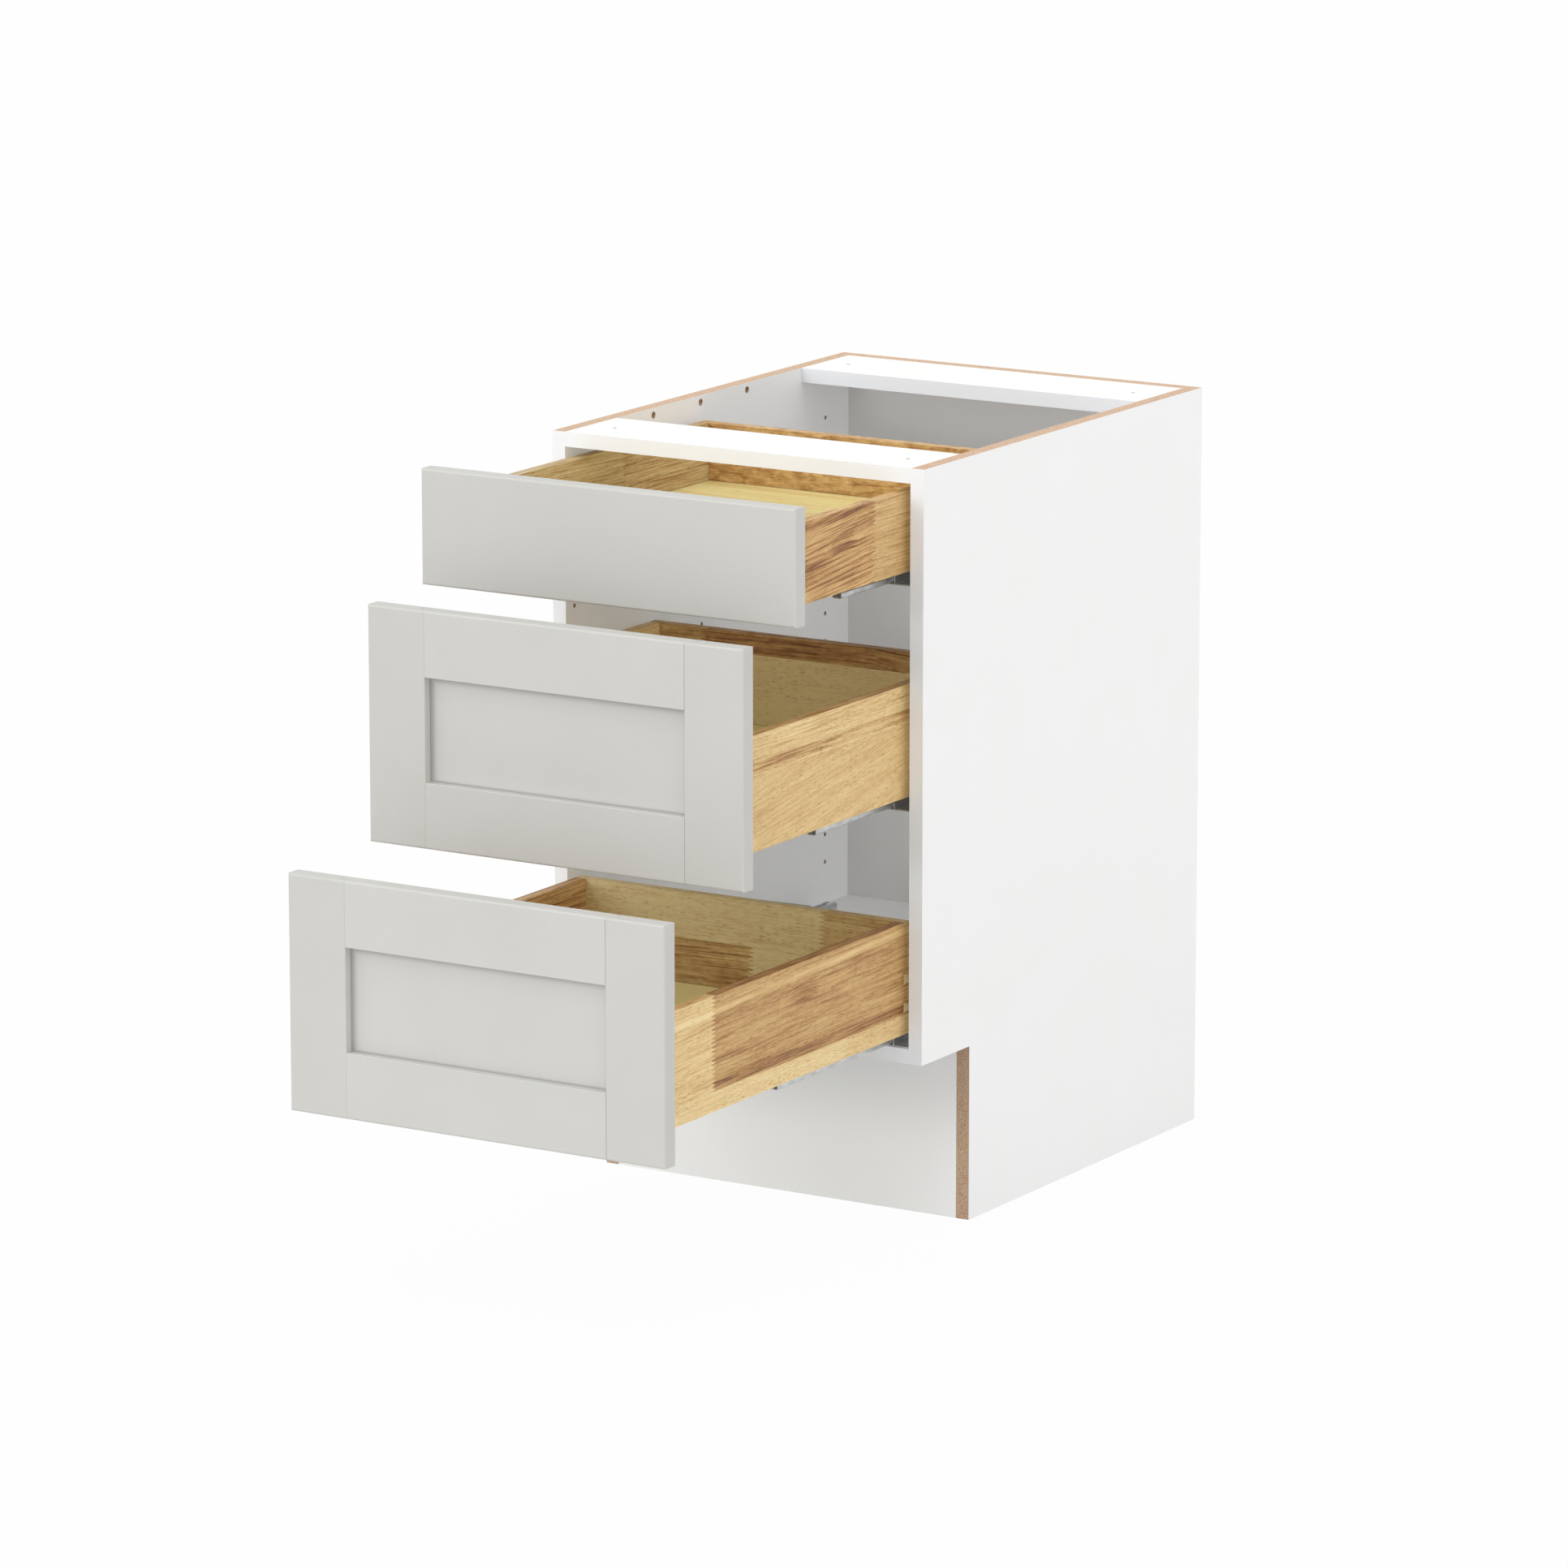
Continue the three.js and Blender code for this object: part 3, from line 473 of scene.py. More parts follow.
for kind, share in SHARE_OF_DEEP.items():
    painted = [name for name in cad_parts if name.endswith(kind) or f"_{kind}_" in name]
    sprayed_paint(f"paint_{kind}", share).give(*painted)
    print(kind, "painted:", len(painted))

# %% Paint the centre panels
for drawer in ("middle", "bottom"):
    left, right, bottom, top = opening = (
        extent(f"{drawer}_front_stile_left")[1].x,
        extent(f"{drawer}_front_stile_right")[0].x,
        extent(f"{drawer}_front_rail_bottom")[1].z,
        extent(f"{drawer}_front_rail_top")[0].z,
    )
    panel = f"{drawer}_front_panel"
    sprayed_paint(f"paint_{panel}", SHARE_OF_PANEL, opening).give(panel)
    print(panel, "shows", round(right - left), "by", round(top - bottom), "mm")

# %% [markdown]
# ## White board with its core of chips
#
# The carcass is particleboard: wood chips pressed with glue, fine and dense near both faces and
# coarser in the middle, with a thin white melamine skin on each face. The long edges that show
# have a white band glued on. The other edges are left as they were sawn, so they are brown, and
# so is the inside of every drilled hole.
#
# The edges could be separate pieces, but the holes couldn't. Here one rule does both. A point
# that lies inside the board's thickness, deeper than the skin, is core, and all else is skin. The
# band is the last bit before the front edge, where the same point is white again.
#
# In the toe notch the chips are darker: painted shade, as little light reaches under the cabinet.

# %% The chips
SKIN = 0.2  # mm, too thin to show as a line
FINE_CHIPS, COARSE_CHIPS = 2.4, 1.2  # in a millimetre, near a face and in the middle
CHIP_STRETCH = 1.4  # chips lie flat, so they are longer along the board than across it
CHIP_TONES = [
    (0.00, tone(150, 106, 78)),
    (0.12, tone(198, 155, 122)),
    (0.50, tone(218, 181, 150)),
    (0.85, tone(229, 195, 166)),
    (1.00, tone(240, 212, 188)),
]
GREY_CHIP = tone(206, 188, 164)
# the painted shade of the chips in the toe notch
TOE_SHADE_TINT = (0.80, 0.79, 0.77, 1.0)


def chips(finish, thin, low, high):
    """The colour and the height of sawn chips. thin is the axis across the board."""
    half = (high - low) / 2
    depth = 1 - abs(finish.axes[thin] - (low + half)) / half
    where = finish.point(
        *(finish.axes[axis] / (1.0 if axis == thin else CHIP_STRETCH) for axis in range(3))
    )
    fine, coarse = (
        finish.node("ShaderNodeTexVoronoi", None, {"Vector": where, "Scale": scale}, "Color")
        for scale in (FINE_CHIPS, COARSE_CHIPS)
    )
    chosen = finish.mix(depth.fade(0.15, 0.45), fine, coarse)
    level = finish.node("ShaderNodeSeparateColor", None, {"Color": chosen})
    colour = finish.node("ShaderNodeValToRGB", {"stops": CHIP_TONES}, {0: level})
    colour = finish.mix(0.7 * level.sibling("Green").fade(0.4, 0.8), colour, GREY_CHIP)
    return colour, level


# %% White board
BOARD_WHITE = tone(250, 250, 250)
BOARD_WHITE_DEEP = tone(249, 249, 248)
BAND_WHITE = tone(247, 250, 254)  # the band is a cooler white than the faces
BAND = 0.9  # mm thick
BAND_GLUE = 0.25  # mm of glue behind the band
GLUE_GREY = tone(150, 145, 138)
GLUE_SHARE = 0.12  # how much of the glue shows
BOARD_CLOUD = 70.0  # mm across, a patch of slightly deeper white
GRAIN_OF_SKIN = 0.7  # mm, the pearl of pressed melamine
CHIP_RELIEF = 0.07  # mm
AXIS_NAMES = "xyz"
NOTCH_TOP = extent("bottom_panel")[0].z
NOTCH_REAR = extent("toe_kick_board")[1].y


def white_board(board, banded):
    """A finish for one board. banded says that its front edge has a white band."""
    low, high = extent(board)
    thin = min(range(3), key=lambda axis: high[axis] - low[axis])
    finish = Finish(f"melamine_{board}", IOR=1.5)
    core = finish.axes[thin].between(low[thin] + SKIN, high[thin] - SKIN)
    clouds = finish.grained(BOARD_CLOUD)
    pearl = finish.grained(GRAIN_OF_SKIN, 1.0)
    skin = finish.mix(clouds.fade(0.3, 0.7), BOARD_WHITE, BOARD_WHITE_DEEP)
    if banded:
        band_end = low.y + BAND
        core = core * (finish.y > band_end)
        skin = finish.mix(finish.y < band_end, skin, BAND_WHITE)
        glue = finish.y.between(band_end, band_end + BAND_GLUE)
        skin = finish.mix(GLUE_SHARE * glue, skin, GLUE_GREY)
    colour, level = chips(finish, thin, low[thin], high[thin])
    # Painted shade: the chips in the toe notch are darkened, as the space under the cabinet gets
    # little light.
    in_notch = (finish.z < NOTCH_TOP) * (finish.y < NOTCH_REAR)
    colour = finish.mix(in_notch, colour, TOE_SHADE_TINT, "MULTIPLY")
    finish.surface(
        Base_Color=finish.mix(core, skin, colour),
        Roughness=0.36 + 0.08 * pearl + 0.45 * core,
        Normal=finish.relief(pearl * 0.15 * (1 - core) + level * core, CHIP_RELIEF),
    )
    print(board, "is", round(high[thin] - low[thin], 1), "mm thick along", AXIS_NAMES[thin])
    return finish


# %% Finish the carcass
BANDED = {
    "side_panel_left": True,
    "side_panel_right": True,
    "bottom_panel": True,
    "front_stretcher": True,
    "rear_stretcher": True,
    "back_panel": False,
    "toe_kick_board": False,
}
for board, banded in BANDED.items():
    white_board(board, banded).give(board)
print("boards with a band:", sum(BANDED.values()))

# %% [markdown]
# ## Glued hardwood for the drawer boxes
#
# The boxes are made of a pale plantation hardwood. Its trunks are short, so short staves are
# joined end to end with sawn fingers and glued edge to edge into a board. No two staves match:
# some are cream and straight, some tan with brown streaks, some curly. All of them have the short
# dark pores that mark this wood.
#
# Each board is described by its staves, as a joiner would read them off: how high each row
# starts, how far along each stave starts, and how dark, how red and how streaky it is. The shader
# finds which stave a point lies in and looks its character up in a colour ramp that is used as a
# table. The number of the stave also shifts the grain, so that it breaks at every joint.

# %% The staves and their joints
TOOTH_PITCH = 4.65  # mm from finger to finger
TOOTH_DEPTH = 9.0
GLUE_WIDTH = 0.4
BEYOND = 1000  # mm, further than any board reaches


def find_stave(finish, along, up, rows):
    """Which stave a point is in, the look of that stave, and how near the point is to a joint."""
    toothed = along + up.zigzag(TOOTH_PITCH, TOOTH_DEPTH) - TOOTH_DEPTH / 2
    number, joints, looks = 0.0, 0.0, []
    for row, (base, staves) in enumerate(rows):
        top = rows[row + 1][0] if row + 1 < len(rows) else BEYOND
        in_row = up.between(base if row else -BEYOND, top)
        if row:
            joints = joints + (1 - abs(up - base) / GLUE_WIDTH).fade(0, 1)
        for place, (start, *look) in enumerate(staves):
            end = staves[place + 1][0] if place + 1 < len(staves) else BEYOND
            if place:
                joints = joints + (1 - abs(toothed - start) / GLUE_WIDTH).fade(0, 1) * in_row
            in_stave = in_row * toothed.between(start if place else -BEYOND, end)
            number = number + len(looks) * in_stave
            looks.append(look)
    stops = [(place / len(looks), look) for place, look in enumerate(looks)]
    look = finish.node(
        "ShaderNodeValToRGB",
        {"ramp_interpolation": "CONSTANT", "stops": stops},
        {0: (number + 0.5) / len(looks)},
    )
    darkness = finish.node("ShaderNodeSeparateColor", None, {"Color": look})
    return number, joints, darkness, look.sibling("Alpha")


# %% The marks in the wood
GRAIN_MARKS = {
    # name: (length and width in millimetres, detail, distortion)
    "rings": (150, 8, 2.0, 0.3),
    "streaks": (85, 2.1, 2.5, 0.15),
    "fibres": (28, 0.8, 1.0),
    "mottles": (16, 7, 2.0, 0.8),
    "pores": (9, 0.6, 0.0),
    "patches": (70, 12, 1.0),  # where the pores are darker
}
KNOT_REACH = 34  # mm along the grain
KNOT_RISE = 13  # mm across it
FACING = 0.7  # how nearly a surface points along an axis to count as facing that way


def stretched(finish, along, up, deep, length, width, detail=2.0, distortion=0.0, roughness=0.5):
    """Noise drawn out along the grain."""
    where = finish.point(along / length, up / width, deep / width)
    return finish.noise(where, detail, roughness, distortion)


def band_marks(along, up, bands):
    """How much darker the wood is where a dark band crosses it."""
    marks = 0.0
    for height, half_width, darker, climb, start in bands:
        off_band = abs(up - climb * along - height)
        marks = marks + darker * (1 - off_band / half_width).fade(0, 1) * (along > start)
    return marks


def knot_swirl(along, up, knot):
    """1 in the middle of a knot and 0 outside it."""
    reach, rise = (along - knot[0]) / KNOT_REACH, (up - knot[1]) / KNOT_RISE
    return (1 - reach * reach - rise * rise).fade(0, 1)


def end_and_top(finish, grain):
    """Where a board shows its end grain, and where its upper edge."""
    normal = finish.node("ShaderNodeTexCoord", output="Normal")
    facing = finish.node("ShaderNodeSeparateXYZ", None, {"Vector": normal})
    endwise = facing.sibling("Y") if grain == "y" else facing
    return abs(endwise) > FACING, facing.sibling("Z") > FACING


print("marks in the wood:", ", ".join(GRAIN_MARKS))

# %% A board of hardwood
WOOD_TONES = [
    (0.00, tone(246, 224, 172)),
    (0.25, tone(232, 203, 146)),
    (0.50, tone(210, 173, 116)),
    (0.75, tone(176, 131, 80)),
    (1.00, tone(122, 80, 46)),
]
RED_TINT = (1.0, 0.89, 0.78, 1.0)
COOL_TINT = (0.78, 0.87, 1.0, 1.0)  # for a board that is less yellow than the others
PORE_TINT = (0.55, 0.42, 0.30, 1.0)
END_GRAIN_SHADE = 0.14
KNOT_LIFT = 2  # mm, how far the grain swerves round a knot
KNOT_SHADE = 0.16
STEEPEST = 0.2  # how far a slanting grain climbs at most, for each millimetre along the board
GRAIN_SHIFT = (61, 17)  # mm along and up, from the grain of one stave to the next
RING_SHARE, STREAK_SHARE, FIBRE_SHARE = 0.9, 0.42, 0.30  # how far each moves the shade
WOOD_RELIEF = 0.05  # mm


def hardwood(board, grain, rows, curl=0.20, knot=None, bands=(), cool=0.0, top=0.0):
    """A finish for one board of a drawer box, from its staves.

    grain is the axis that they run along. curl says how mottled the wood is and cool how much
    less yellow. A knot is a place along and up the board. A band is its height, its half width,
    how much darker it is, how far it climbs for each millimetre and where it starts. top says
    how much painted shade darkens the upper edge, where the drawer above keeps the light off.
    """
    low, high = extent(board)
    finish = Finish(f"hardwood_{board}", IOR=1.48)
    lengthwise, sideways = (1, 0) if grain == "y" else (0, 1)
    along = finish.axes[lengthwise] - low[lengthwise]
    deep = finish.axes[sideways] - low[sideways]
    up = finish.z - low.z
    number, joints, darkness, slant = find_stave(finish, along, up, rows)
    redness, streakiness = darkness.sibling("Green"), darkness.sibling("Blue")
    shade = darkness
    marks = band_marks(along, up, bands)
    if knot:
        swirl = knot_swirl(along, up, knot)
        up = up - KNOT_LIFT * swirl
        shade = shade + KNOT_SHADE * swirl
    up = up - 2 * STEEPEST * (slant - 0.5) * along
    along, up = along + GRAIN_SHIFT[0] * number, up + GRAIN_SHIFT[1] * number

    rings, streaks, fibres, mottles, pores, patches = (
        stretched(finish, along, up, deep, *mark) for mark in GRAIN_MARKS.values()
    )
    pores, patches = pores.fade(0.60, 0.70), patches.fade(0.35, 0.6)
    end_grain, upper_edge = end_and_top(finish, grain)

    drawn = RING_SHARE * (rings - 0.5) + STREAK_SHARE * (streaks.fade(0.42, 0.68) - 0.4)
    shade = shade + streakiness * drawn
    shade = shade + FIBRE_SHARE * (fibres - 0.5) + curl * (mottles - 0.5)
    # top * upper_edge is painted shade on the upper edges, under the drawer above.
    shade = shade + marks * (0.4 + 1.2 * streaks) + END_GRAIN_SHADE * end_grain + top * upper_edge
    colour = finish.node("ShaderNodeValToRGB", {"stops": WOOD_TONES}, {0: shade})
    colour = finish.mix(redness, colour, RED_TINT, "MULTIPLY")
    colour = finish.mix(cool, colour, COOL_TINT, "MULTIPLY")
    colour = finish.mix(pores * (0.25 + 0.45 * patches + marks), colour, PORE_TINT, "MULTIPLY")
    colour = finish.mix(0.30 * joints, colour, PORE_TINT, "MULTIPLY")
    finish.surface(
        Base_Color=colour,
        Roughness=0.46 + 0.14 * fibres + 0.10 * pores,
        Normal=finish.relief(0.4 * fibres - 0.6 * pores - 0.5 * joints, WOOD_RELIEF),
    )
    return finish


# %% The staves of every board
# A row of staves: (height of its lower edge, its staves). A stave: (start, dark, red, streaky,
# slant), where a slant of 0.5 is straight grain. Lengths run from the front end of a side and
# from the left end of a front or back.
BOX_BOARDS = {
    "top_box_side_right": (
        "y", [(0, [(0, .66, .58, 1.0, .71), (174, .50, .20, .50, .52), (402, .5, .5, .8, .5)])],
        {"knot": (111, 50)},
    ),
    "top_box_side_left": (
        "y", [(0, [(0, .46, .10, .7, .45), (318, .50, .35, .9, .5)])], {"cool": .9},
    ),
    "top_box_front": (
        "x", [(0, [(0, .30, .30, .5, .5), (167, .42, .45, .8, .6), (301, .2, .2, .4, .45)])], {},
    ),
    "top_box_back": (
        "x", [(0, [(0, .56, .50, .35, .5), (139, .54, .42, .40, .6), (322, .52, .4, .35, .4)])],
        {"curl": 1.0},
    ),
    "middle_box_side_right": (
        "y", [(0, [(0, .37, .15, .35, .85), (415, .5, .3, .7, .5)]),
              (78.8, [(0, .30, .12, .70, .52), (352, .36, .4, .6, .5)])],
        {
            "bands": [(84, 3.5, .14, 0, 0), (90, 4.5, .12, .004, 0), (88, 14, .13, 0, 0)],
            # top: painted shade on the upper edges, which the drawer above keeps from the light
            "top": .34,
        },
    ),
    "middle_box_side_left": ("y", [(0, [(0, .36, .40, .7, .5), (201, .28, .3, .5, .4)])], {}),
    "middle_box_front": ("x", [(0, [(0, .34, .35, .6, .5), (243, .5, .5, .9, .6)])], {}),
    "middle_box_back": (
        "x", [(0, [(0, .03, .00, .30, .5), (356, .02, .0, .3, .5)]),
              (98, [(0, .50, .25, .5, .5), (69, .74, .60, .8, .5), (288, .64, .60, .8, .3)])],
        {"curl": .5},
    ),
    "bottom_box_side_right": (
        "y", [(0, [(0, .20, .15, .30, .5), (371, .3, .2, .3, .5)]),
              (21.5, [(0, .26, .25, .60, .61), (109.7, .62, .27, .55, .56)])],
        {
            "bands": [(28, 10, .24, 0, 110), (101, 6, -.30, .024, 0)],
            "knot": (288, 88),
            # top: painted shade on the upper edges, which the drawer above keeps from the light
            "top": .24,
        },
    ),
    "bottom_box_side_left": ("y", [(0, [(0, .57, .25, .8, .5), (262, .68, .35, .9, .5)])], {}),
    "bottom_box_front": (
        "x", [(0, [(0, .3, .3, .6, .5), (190, .24, .2, .5, .5)]),
              (64, [(0, .45, .5, .8, .5), (275, .35, .4, .6, .5)])], {},
    ),
    "bottom_box_back": (
        "x", [(0, [(0, .57, .40, .9, .55), (220, .05, .0, .35, .5)]),
              (71, [(0, .10, .0, .40, .5), (308, .40, .30, .7, .5)])],
        {"curl": .5, "cool": .3},
    ),
}

# %% Finish the boxes
stave_count = 0
for board, (grain, rows, extras) in BOX_BOARDS.items():
    hardwood(board, grain, rows, **extras).give(board)
    stave_count += sum(len(staves) for base, staves in rows)
print(len(BOX_BOARDS), "boards of", stave_count, "staves")

# %% [markdown]
# ## Plywood for the drawer bottoms
#
# A drawer's bottom is thin plywood, peeled from a log in one long sheet. Peeling cuts the growth
# rings at a shallow angle, so the face shows broad faint waves and hardly a pore. Its edges show
# the veneers, every second one across the grain and so a little darker.
#
# Where the sheet enters the grooves of the box, painted shade darkens the last bit before each
# wall: it stands in for the shade in the gap, which is too narrow to model.

# %% Plywood
VENEERS = 5
PLY_TONES = [
    (0.0, tone(250, 238, 176)),
    (0.5, tone(230, 212, 144)),
    (1.0, tone(213, 190, 119)),
]
# the tint and the reach of the painted shade along the walls of the box
WALL_SHADE_TINT = (0.32, 0.24, 0.16, 1.0)
WALL_SHADE_REACH = 2.0  # mm, how far the painted shade fades out over the sheet
PLY_WAVE = (210, 26)  # mm along and across, as for the next two
PLY_FIBRE = (60, 1.1)
PLY_FLECK = (9, 0.8)
PLY_FACE = 0.2  # mm under each face, where an edge shows no veneer yet
WAVE_SHARE, PLY_FIBRE_SHARE, VENEER_SHARE = 1.15, 0.4, 0.35  # how far each moves the shade


def plywood(drawer, paler):
    """A finish for the bottom of one drawer. paler says how much paler it is than mid tone."""
    board = f"{drawer}_box_bottom"
    low, high = extent(board)
    finish = Finish(f"plywood_{board}", IOR=1.48)
    to_side = (finish.x - extent(f"{drawer}_box_side_left")[1].x).least(
        extent(f"{drawer}_box_side_right")[0].x - finish.x
    )
    to_end = (finish.y - extent(f"{drawer}_box_front")[1].y).least(
        extent(f"{drawer}_box_back")[0].y - finish.y
    )
    wall_shade = 1 - to_side.least(to_end).fade(0, WALL_SHADE_REACH)
    along, across = finish.x, finish.y - low.y
    waves = stretched(finish, along, across, finish.z, *PLY_WAVE, distortion=0.9, roughness=0.45)
    fibres = stretched(finish, along, across, finish.z, *PLY_FIBRE)
    fleck_place = finish.point(along / PLY_FLECK[0], across / PLY_FLECK[1], finish.z)
    flecks = finish.noise(fleck_place, 0.0).fade(0.66, 0.74)
    edge = finish.z.between(low.z + PLY_FACE, high.z - PLY_FACE)
    veneer = (high.z - low.z) / VENEERS
    crosswise = (finish.z - low.z).zigzag(2 * veneer, 1.0) > 0.5
    shade = 0.5 - paler + WAVE_SHARE * (waves - 0.5) + PLY_FIBRE_SHARE * (fibres - 0.5)
    shade = shade + VENEER_SHARE * edge * crosswise
    colour = finish.node("ShaderNodeValToRGB", {"stops": PLY_TONES}, {0: shade})
    colour = finish.mix(0.35 * flecks, colour, PORE_TINT, "MULTIPLY")
    # Painted shade along each wall of the box, where the sheet enters its groove.
    colour = finish.mix(0.95 * wall_shade, colour, WALL_SHADE_TINT, "MULTIPLY")
    finish.surface(
        Base_Color=colour,
        Roughness=0.44 + 0.14 * fibres,
        Normal=finish.relief(fibres, 0.02),
    )
    return finish


PALER = {"top": 0.14, "middle": 0.22, "bottom": 0.5}
for drawer, paler in PALER.items():
    plywood(drawer, paler).give(f"{drawer}_box_bottom")
print("drawer bottoms:", len(PALER))

# %% [markdown]
# ## Zinc-plated steel
#
# The runners are rolled from thin steel strip and zinc plated. Rolling leaves fine lines along
# the strip, and plating leaves soft patches that are a little brighter or duller. Metal has
# hardly a colour of its own, so its look is mostly roughness: the lines stretch the reflections.

# %% Steel
STEEL_BRIGHT = (0.66, 0.67, 0.68, 1.0)
STEEL_DULL = (0.50, 0.51, 0.51, 1.0)
ROLLED_LINE = 45  # mm long
PLATED_PATCH = (7, 16, 7)  # mm along each axis
RUNNER_PARTS = ("cabinet", "slide", "drawer")


def zinc_steel(name, line_width=0.35):
    finish = Finish(name, Metallic=1.0)
    lines = finish.grained((line_width, ROLLED_LINE, line_width))
    patches = finish.grained(PLATED_PATCH, 2.0, 0.6)
    finish.surface(
        Base_Color=finish.mix(patches.fade(0.3, 0.7), STEEL_BRIGHT, STEEL_DULL),
        Roughness=0.34 + 0.14 * patches + 0.12 * lines,
        Normal=finish.relief(lines, 0.012),
    )
    return finish


runner_steel = zinc_steel("zinc_runner")
for drawer in DRAWERS:
    for side in SIDES:
        runner_steel.give(*(f"{drawer}_runner_{part}_{side}" for part in RUNNER_PARTS))
print("runner members in zinc:", len(RUNNER_PARTS) * len(DRAWERS) * len(SIDES))

# %% [markdown]
# ## Moulded plastic
#
# The clips that lock a drawer onto its runners are moulded from tough grey plastic. The mould was
# spark eroded, which leaves an even, very fine grain on the plastic, and it dulls the shine.

# %% Plastic
FLOW_CLOUD = 12  # mm across, where the plastic cooled a little lighter or darker


def moulded_plastic(name, light, dark, grain):
    """grain is the size of the mould's pits in millimetres."""
    finish = Finish(name, IOR=1.47)
    clouds = finish.grained(FLOW_CLOUD)
    pits = finish.grained(grain, 1.0)
    finish.surface(
        Base_Color=finish.mix(clouds.fade(0.3, 0.7), light, dark),
        Roughness=0.44 + 0.14 * pits,
        Normal=finish.relief(pits, 0.03),
    )
    return finish


clip_plastic = moulded_plastic("plastic_clip", tone(141, 146, 148), tone(132, 137, 140), 0.5)
clip_plastic.give(*(f"{drawer}_locking_clip_{side}" for drawer in DRAWERS for side in SIDES))
print("clips moulded:", len(DRAWERS) * len(SIDES))

# %% [markdown]
# ## Screws and bumpers
#
# The fittings are small, but they tell how the drawer is put together: four screws hold each front
# on its box, two hold each clip, and four hold each runner on the cabinet's side. Round plastic
# bumpers on the back of each front land on the cabinet's edges when the drawer is shut.
#
# A screw's head could be a plain disc. A real one is domed, and a cross is punched into it. Here
# a head is turned ring by ring, as on a lathe. A ring's radius may also change with the angle,
# which gives the cross: the rings climb over the dome, close in on the outline of the cross and
# go down into it. All heads of one kind on one drawer are made as one piece, each turned a
# little further than the last, because nobody lines up their screws.

# %% The cross in a screw's head
ARM_ANGLE = math.radians(15)  # of half an arm of the cross, seen from its middle


def cross(length):
    """The outline of a cross with four arms of this length."""

    def radius(angle):
        off_arm = abs((angle + math.pi / 4) % (math.pi / 2) - math.pi / 4)
        if off_arm < ARM_ANGLE * 1.01:  # a hair more, so that rounding loses no corner
            return length / math.cos(off_arm)
        return length * math.tan(ARM_ANGLE) / math.sin(off_arm)

    return radius


def pan_head(radius, height, arm, depth):
    """The rings of a pan head with a cross recess, from its seat up and into the cross."""
    return [
        (0, radius),
        (0.45 * height, radius),
        (0.72 * height, 0.93 * radius),
        (0.92 * height, 0.76 * radius),
        (height, 0.62 * radius),
        (height, cross(arm)),
        (height - depth, cross(0.78 * arm)),
    ]


# %% Turning a small piece
SEGMENTS = 48


def turn(mesh, rings, where):
    """Adds one turned piece. A ring is a height and a radius, or a radius for each angle."""
    loops = []
    for height, radius in rings:
        loop = []
        for step in range(SEGMENTS):
            angle = 2 * math.pi * step / SEGMENTS
            reach = radius(angle) if callable(radius) else radius
            point = Vector((reach * math.cos(angle), reach * math.sin(angle), height))
            loop.append(mesh.verts.new(where @ point))
        loops.append(loop)
    for lower, upper in zip(loops, loops[1:]):
        for step in range(SEGMENTS):
            following = (step + 1) % SEGMENTS
            mesh.faces.new((lower[step], lower[following], upper[following], upper[step]))
    mesh.faces.new(reversed(loops[0]))
    mesh.faces.new(loops[-1])


# %% Fitting a small piece
EXTRA_TURN = 0.65  # radians, from one head to the next
SHARP_EDGE = math.radians(35)  # edges that bend more than this aren't smoothed


def fit(name, rings, places, body, finish):
    """Fits a turned piece at each place, which is a point and the way that the piece faces."""
    mesh = bmesh.new()
    for number, (point, facing) in enumerate(places):
        aim = Vector(facing).to_track_quat("Z", "Y").to_matrix().to_4x4()
        spin = Matrix.Rotation(EXTRA_TURN * number, 4, "Z")
        turn(mesh, rings, Matrix.Scale(MM, 4) @ Matrix.Translation(point) @ aim @ spin)
    data = bpy.data.meshes.new(name)
    mesh.to_mesh(data)
    mesh.free()
    data.polygons.foreach_set("use_smooth", [True] * len(data.polygons))
    data.set_sharp_from_angle(angle=SHARP_EDGE)
    data.materials.append(finish.material)
    piece = bpy.data.objects.new(name, data)
    scene.collection.objects.link(piece)
    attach(piece, body)
    return piece


# %% The screws and the bumper
SEAT = 0.05  # mm between a fitting and what it sits on
FRONT_SCREW = pan_head(4.2, 2.4, 2.0, 1.3)
CLIP_SCREW = pan_head(3.2, 1.7, 1.6, 1.0)
RUNNER_SCREW = pan_head(4.7, 2.7, 2.2, 0.7)
BUMPER = [(0, 4.0), (0.9, 4.0), (1.4, 3.5), (1.7, 2.6), (1.8, 1.2)]
screw_steel = zinc_steel("zinc_screw", 0.9)
bumper_plastic = moulded_plastic("plastic_bumper", tone(214, 216, 214), tone(204, 207, 206), 0.4)
print("a front's screw is", 2 * FRONT_SCREW[0][1], "mm wide and a bumper", 2 * BUMPER[0][1])

# %% Where the screws of a front go
FRONT_SCREW_INSET = 40  # mm from the box's side
FRONT_SCREW_ROWS = (0.28, 0.76)  # how far up the inside of the box


def front_screw_places(drawer):
    """Four in the box's front board, driven from inside the box."""
    low, high = extent(f"{drawer}_box_front")
    floor_top = extent(f"{drawer}_box_bottom")[1].z
    column = high.x - FRONT_SCREW_INSET
    rows = [floor_top + share * (high.z - floor_top) for share in FRONT_SCREW_ROWS]
    return [((x, high.y + SEAT, z), (0, 1, 0)) for x in (-column, column) for z in rows]


# %% Where the screws of the clips go
CLIP_PLATE = 2.4  # mm thick
CLIP_SCREW_END = 12  # from each end of the clip's plate
CLIP_SCREW_EDGE = 5.5  # from the plate's inner edge


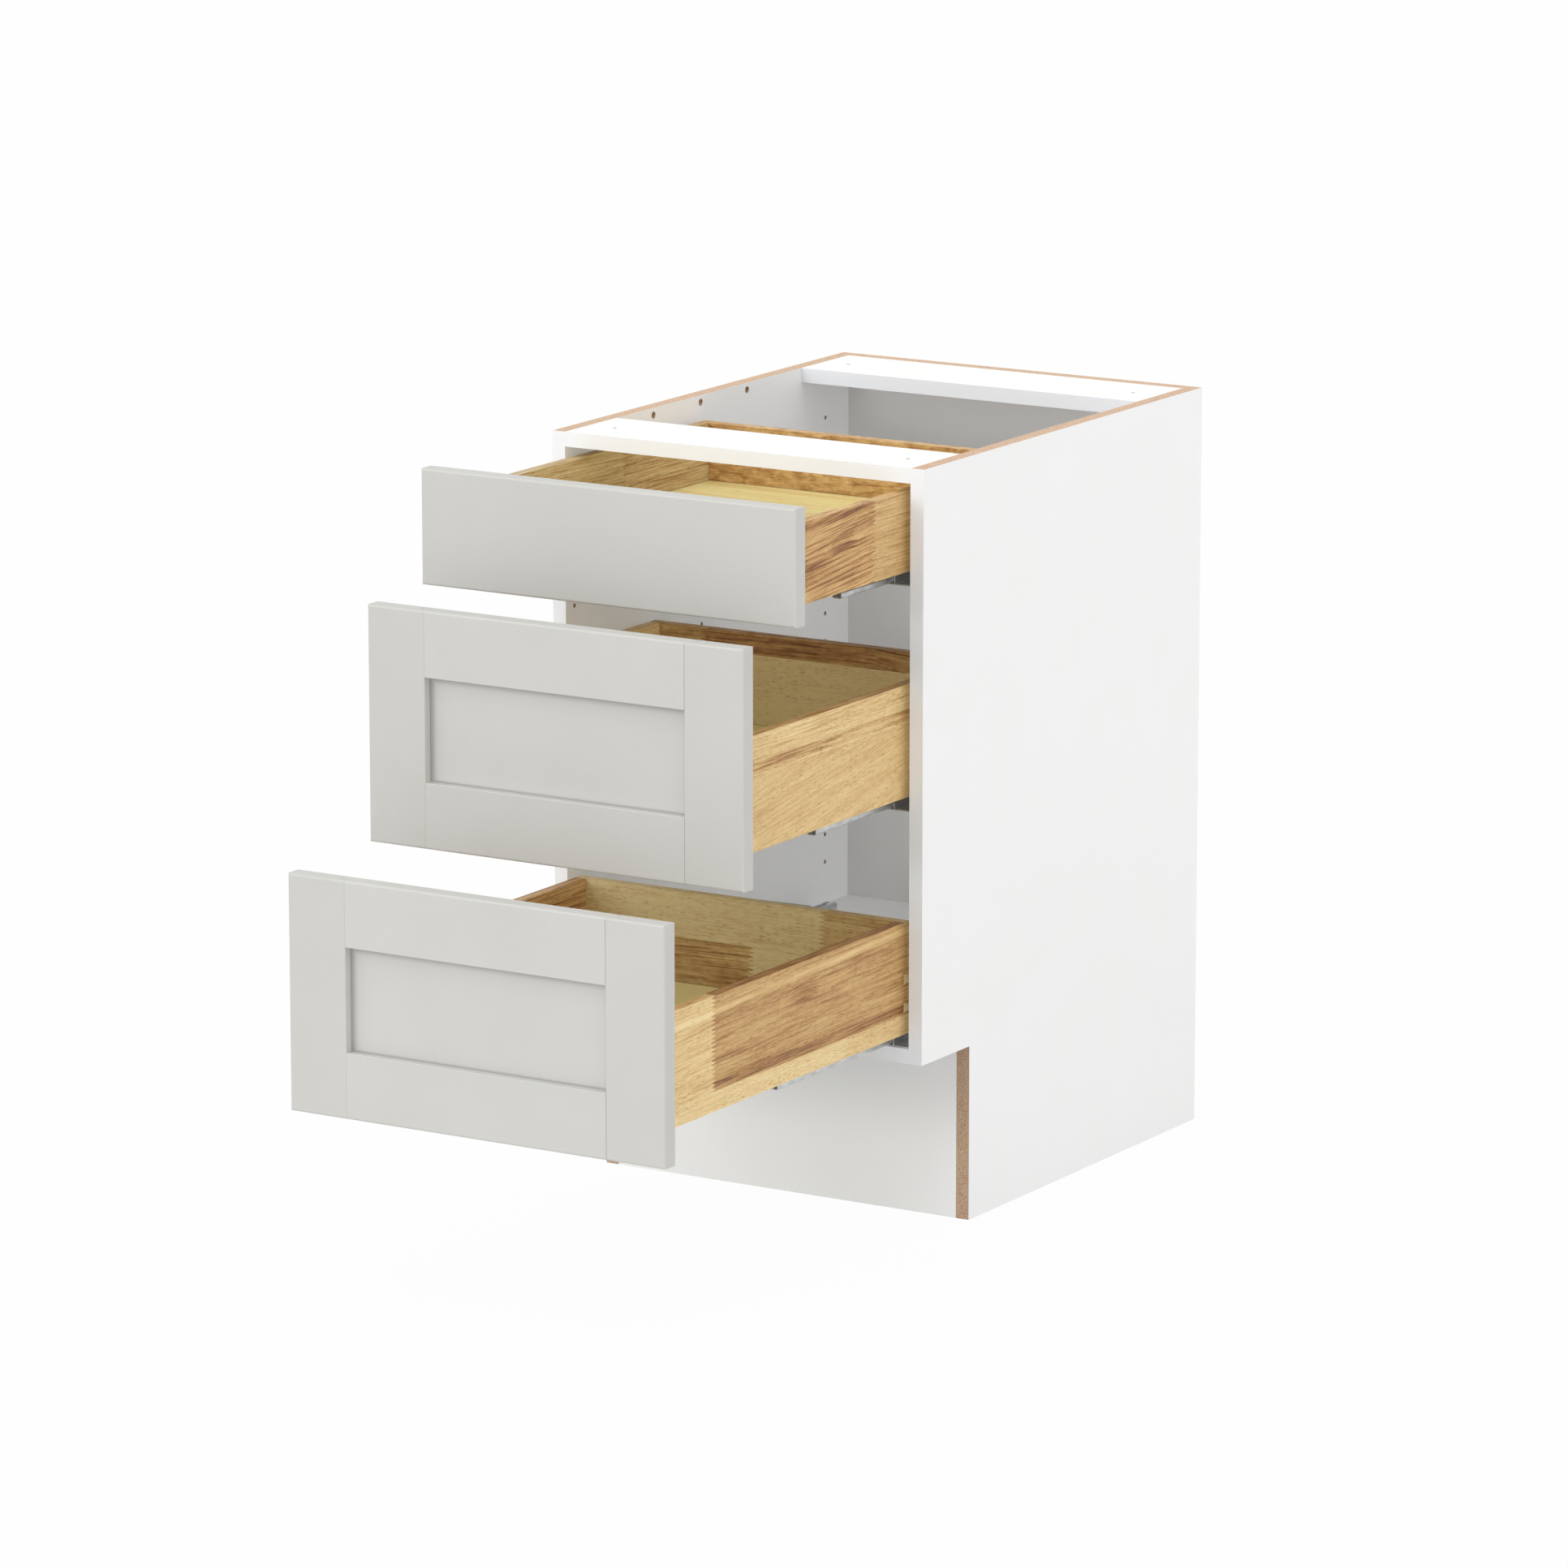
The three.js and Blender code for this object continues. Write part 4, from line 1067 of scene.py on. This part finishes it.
def clip_screw_places(drawer):
    """One at each end of a clip's plate, driven up from below."""
    places = []
    for side, way in zip(SIDES, (-1, 1)):
        low, high = extent(f"{drawer}_locking_clip_{side}")
        x = way * (min(abs(low.x), abs(high.x)) + CLIP_SCREW_EDGE)
        for y in (low.y + CLIP_SCREW_END, high.y - CLIP_SCREW_END):
            places.append(((x, y, high.z - CLIP_PLATE - SEAT), (0, 0, -1)))
    return places


# %% Where the bumpers go
BUMPER_DROP = 12  # mm from the front's top and bottom edge


def bumper_places(drawer):
    """One in each corner of a front's rear face, in line with a side panel's front edge."""
    starts = (f"{drawer}_front", f"{drawer}_drawer_front")
    boards = [extent(node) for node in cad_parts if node.startswith(starts)]
    rear = max(high.y for low, high in boards)
    top = max(high.z for low, high in boards) - BUMPER_DROP
    bottom = min(low.z for low, high in boards) + BUMPER_DROP
    side_middle = sum(corner.x for corner in extent("side_panel_right")) / 2
    columns = (-side_middle, side_middle)
    return [((x, rear + SEAT, z), (0, 1, 0)) for x in columns for z in (top, bottom)]


# %% Where the screws of the runners go
WEB_FACE = 1.5  # mm from the cabinet's side to the face of the runner's web
RUNNER_SCREWS = [(37, 37), (69, 37), (261, 37), (421, 16)]  # behind the front edge, above the base


def runner_screw_places(drawer):
    """Over the screws of the model, four on each side."""
    side_face, carcass_front = extent("side_panel_right")[0].xy
    base = extent(f"{drawer}_runner_cabinet_right")[0].z
    places = []
    for way in (-1, 1):
        x = way * (side_face - WEB_FACE - SEAT)
        for back, rise in RUNNER_SCREWS:
            places.append(((x, carcass_front + back, base + rise), (-way, 0, 0)))
    return places


# %% Fit the screws and bumpers
fitted = []
for drawer in DRAWERS:
    for name, rings, places, slot, finish in (
        ("front_screws", FRONT_SCREW, front_screw_places(drawer), "zinc_steel", screw_steel),
        ("clip_screws", CLIP_SCREW, clip_screw_places(drawer), "zinc_steel", screw_steel),
        ("bumpers", BUMPER, bumper_places(drawer), "clip_plastic", bumper_plastic),
    ):
        fitted.append(fit(f"{drawer}_{name}", rings, places, f"{drawer}_drawer", finish))

places = [place for drawer in DRAWERS for place in runner_screw_places(drawer)]
fitted.append(fit("runner_screws", RUNNER_SCREW, places, "cabinet", screw_steel))
print("pieces fitted:", len(fitted))
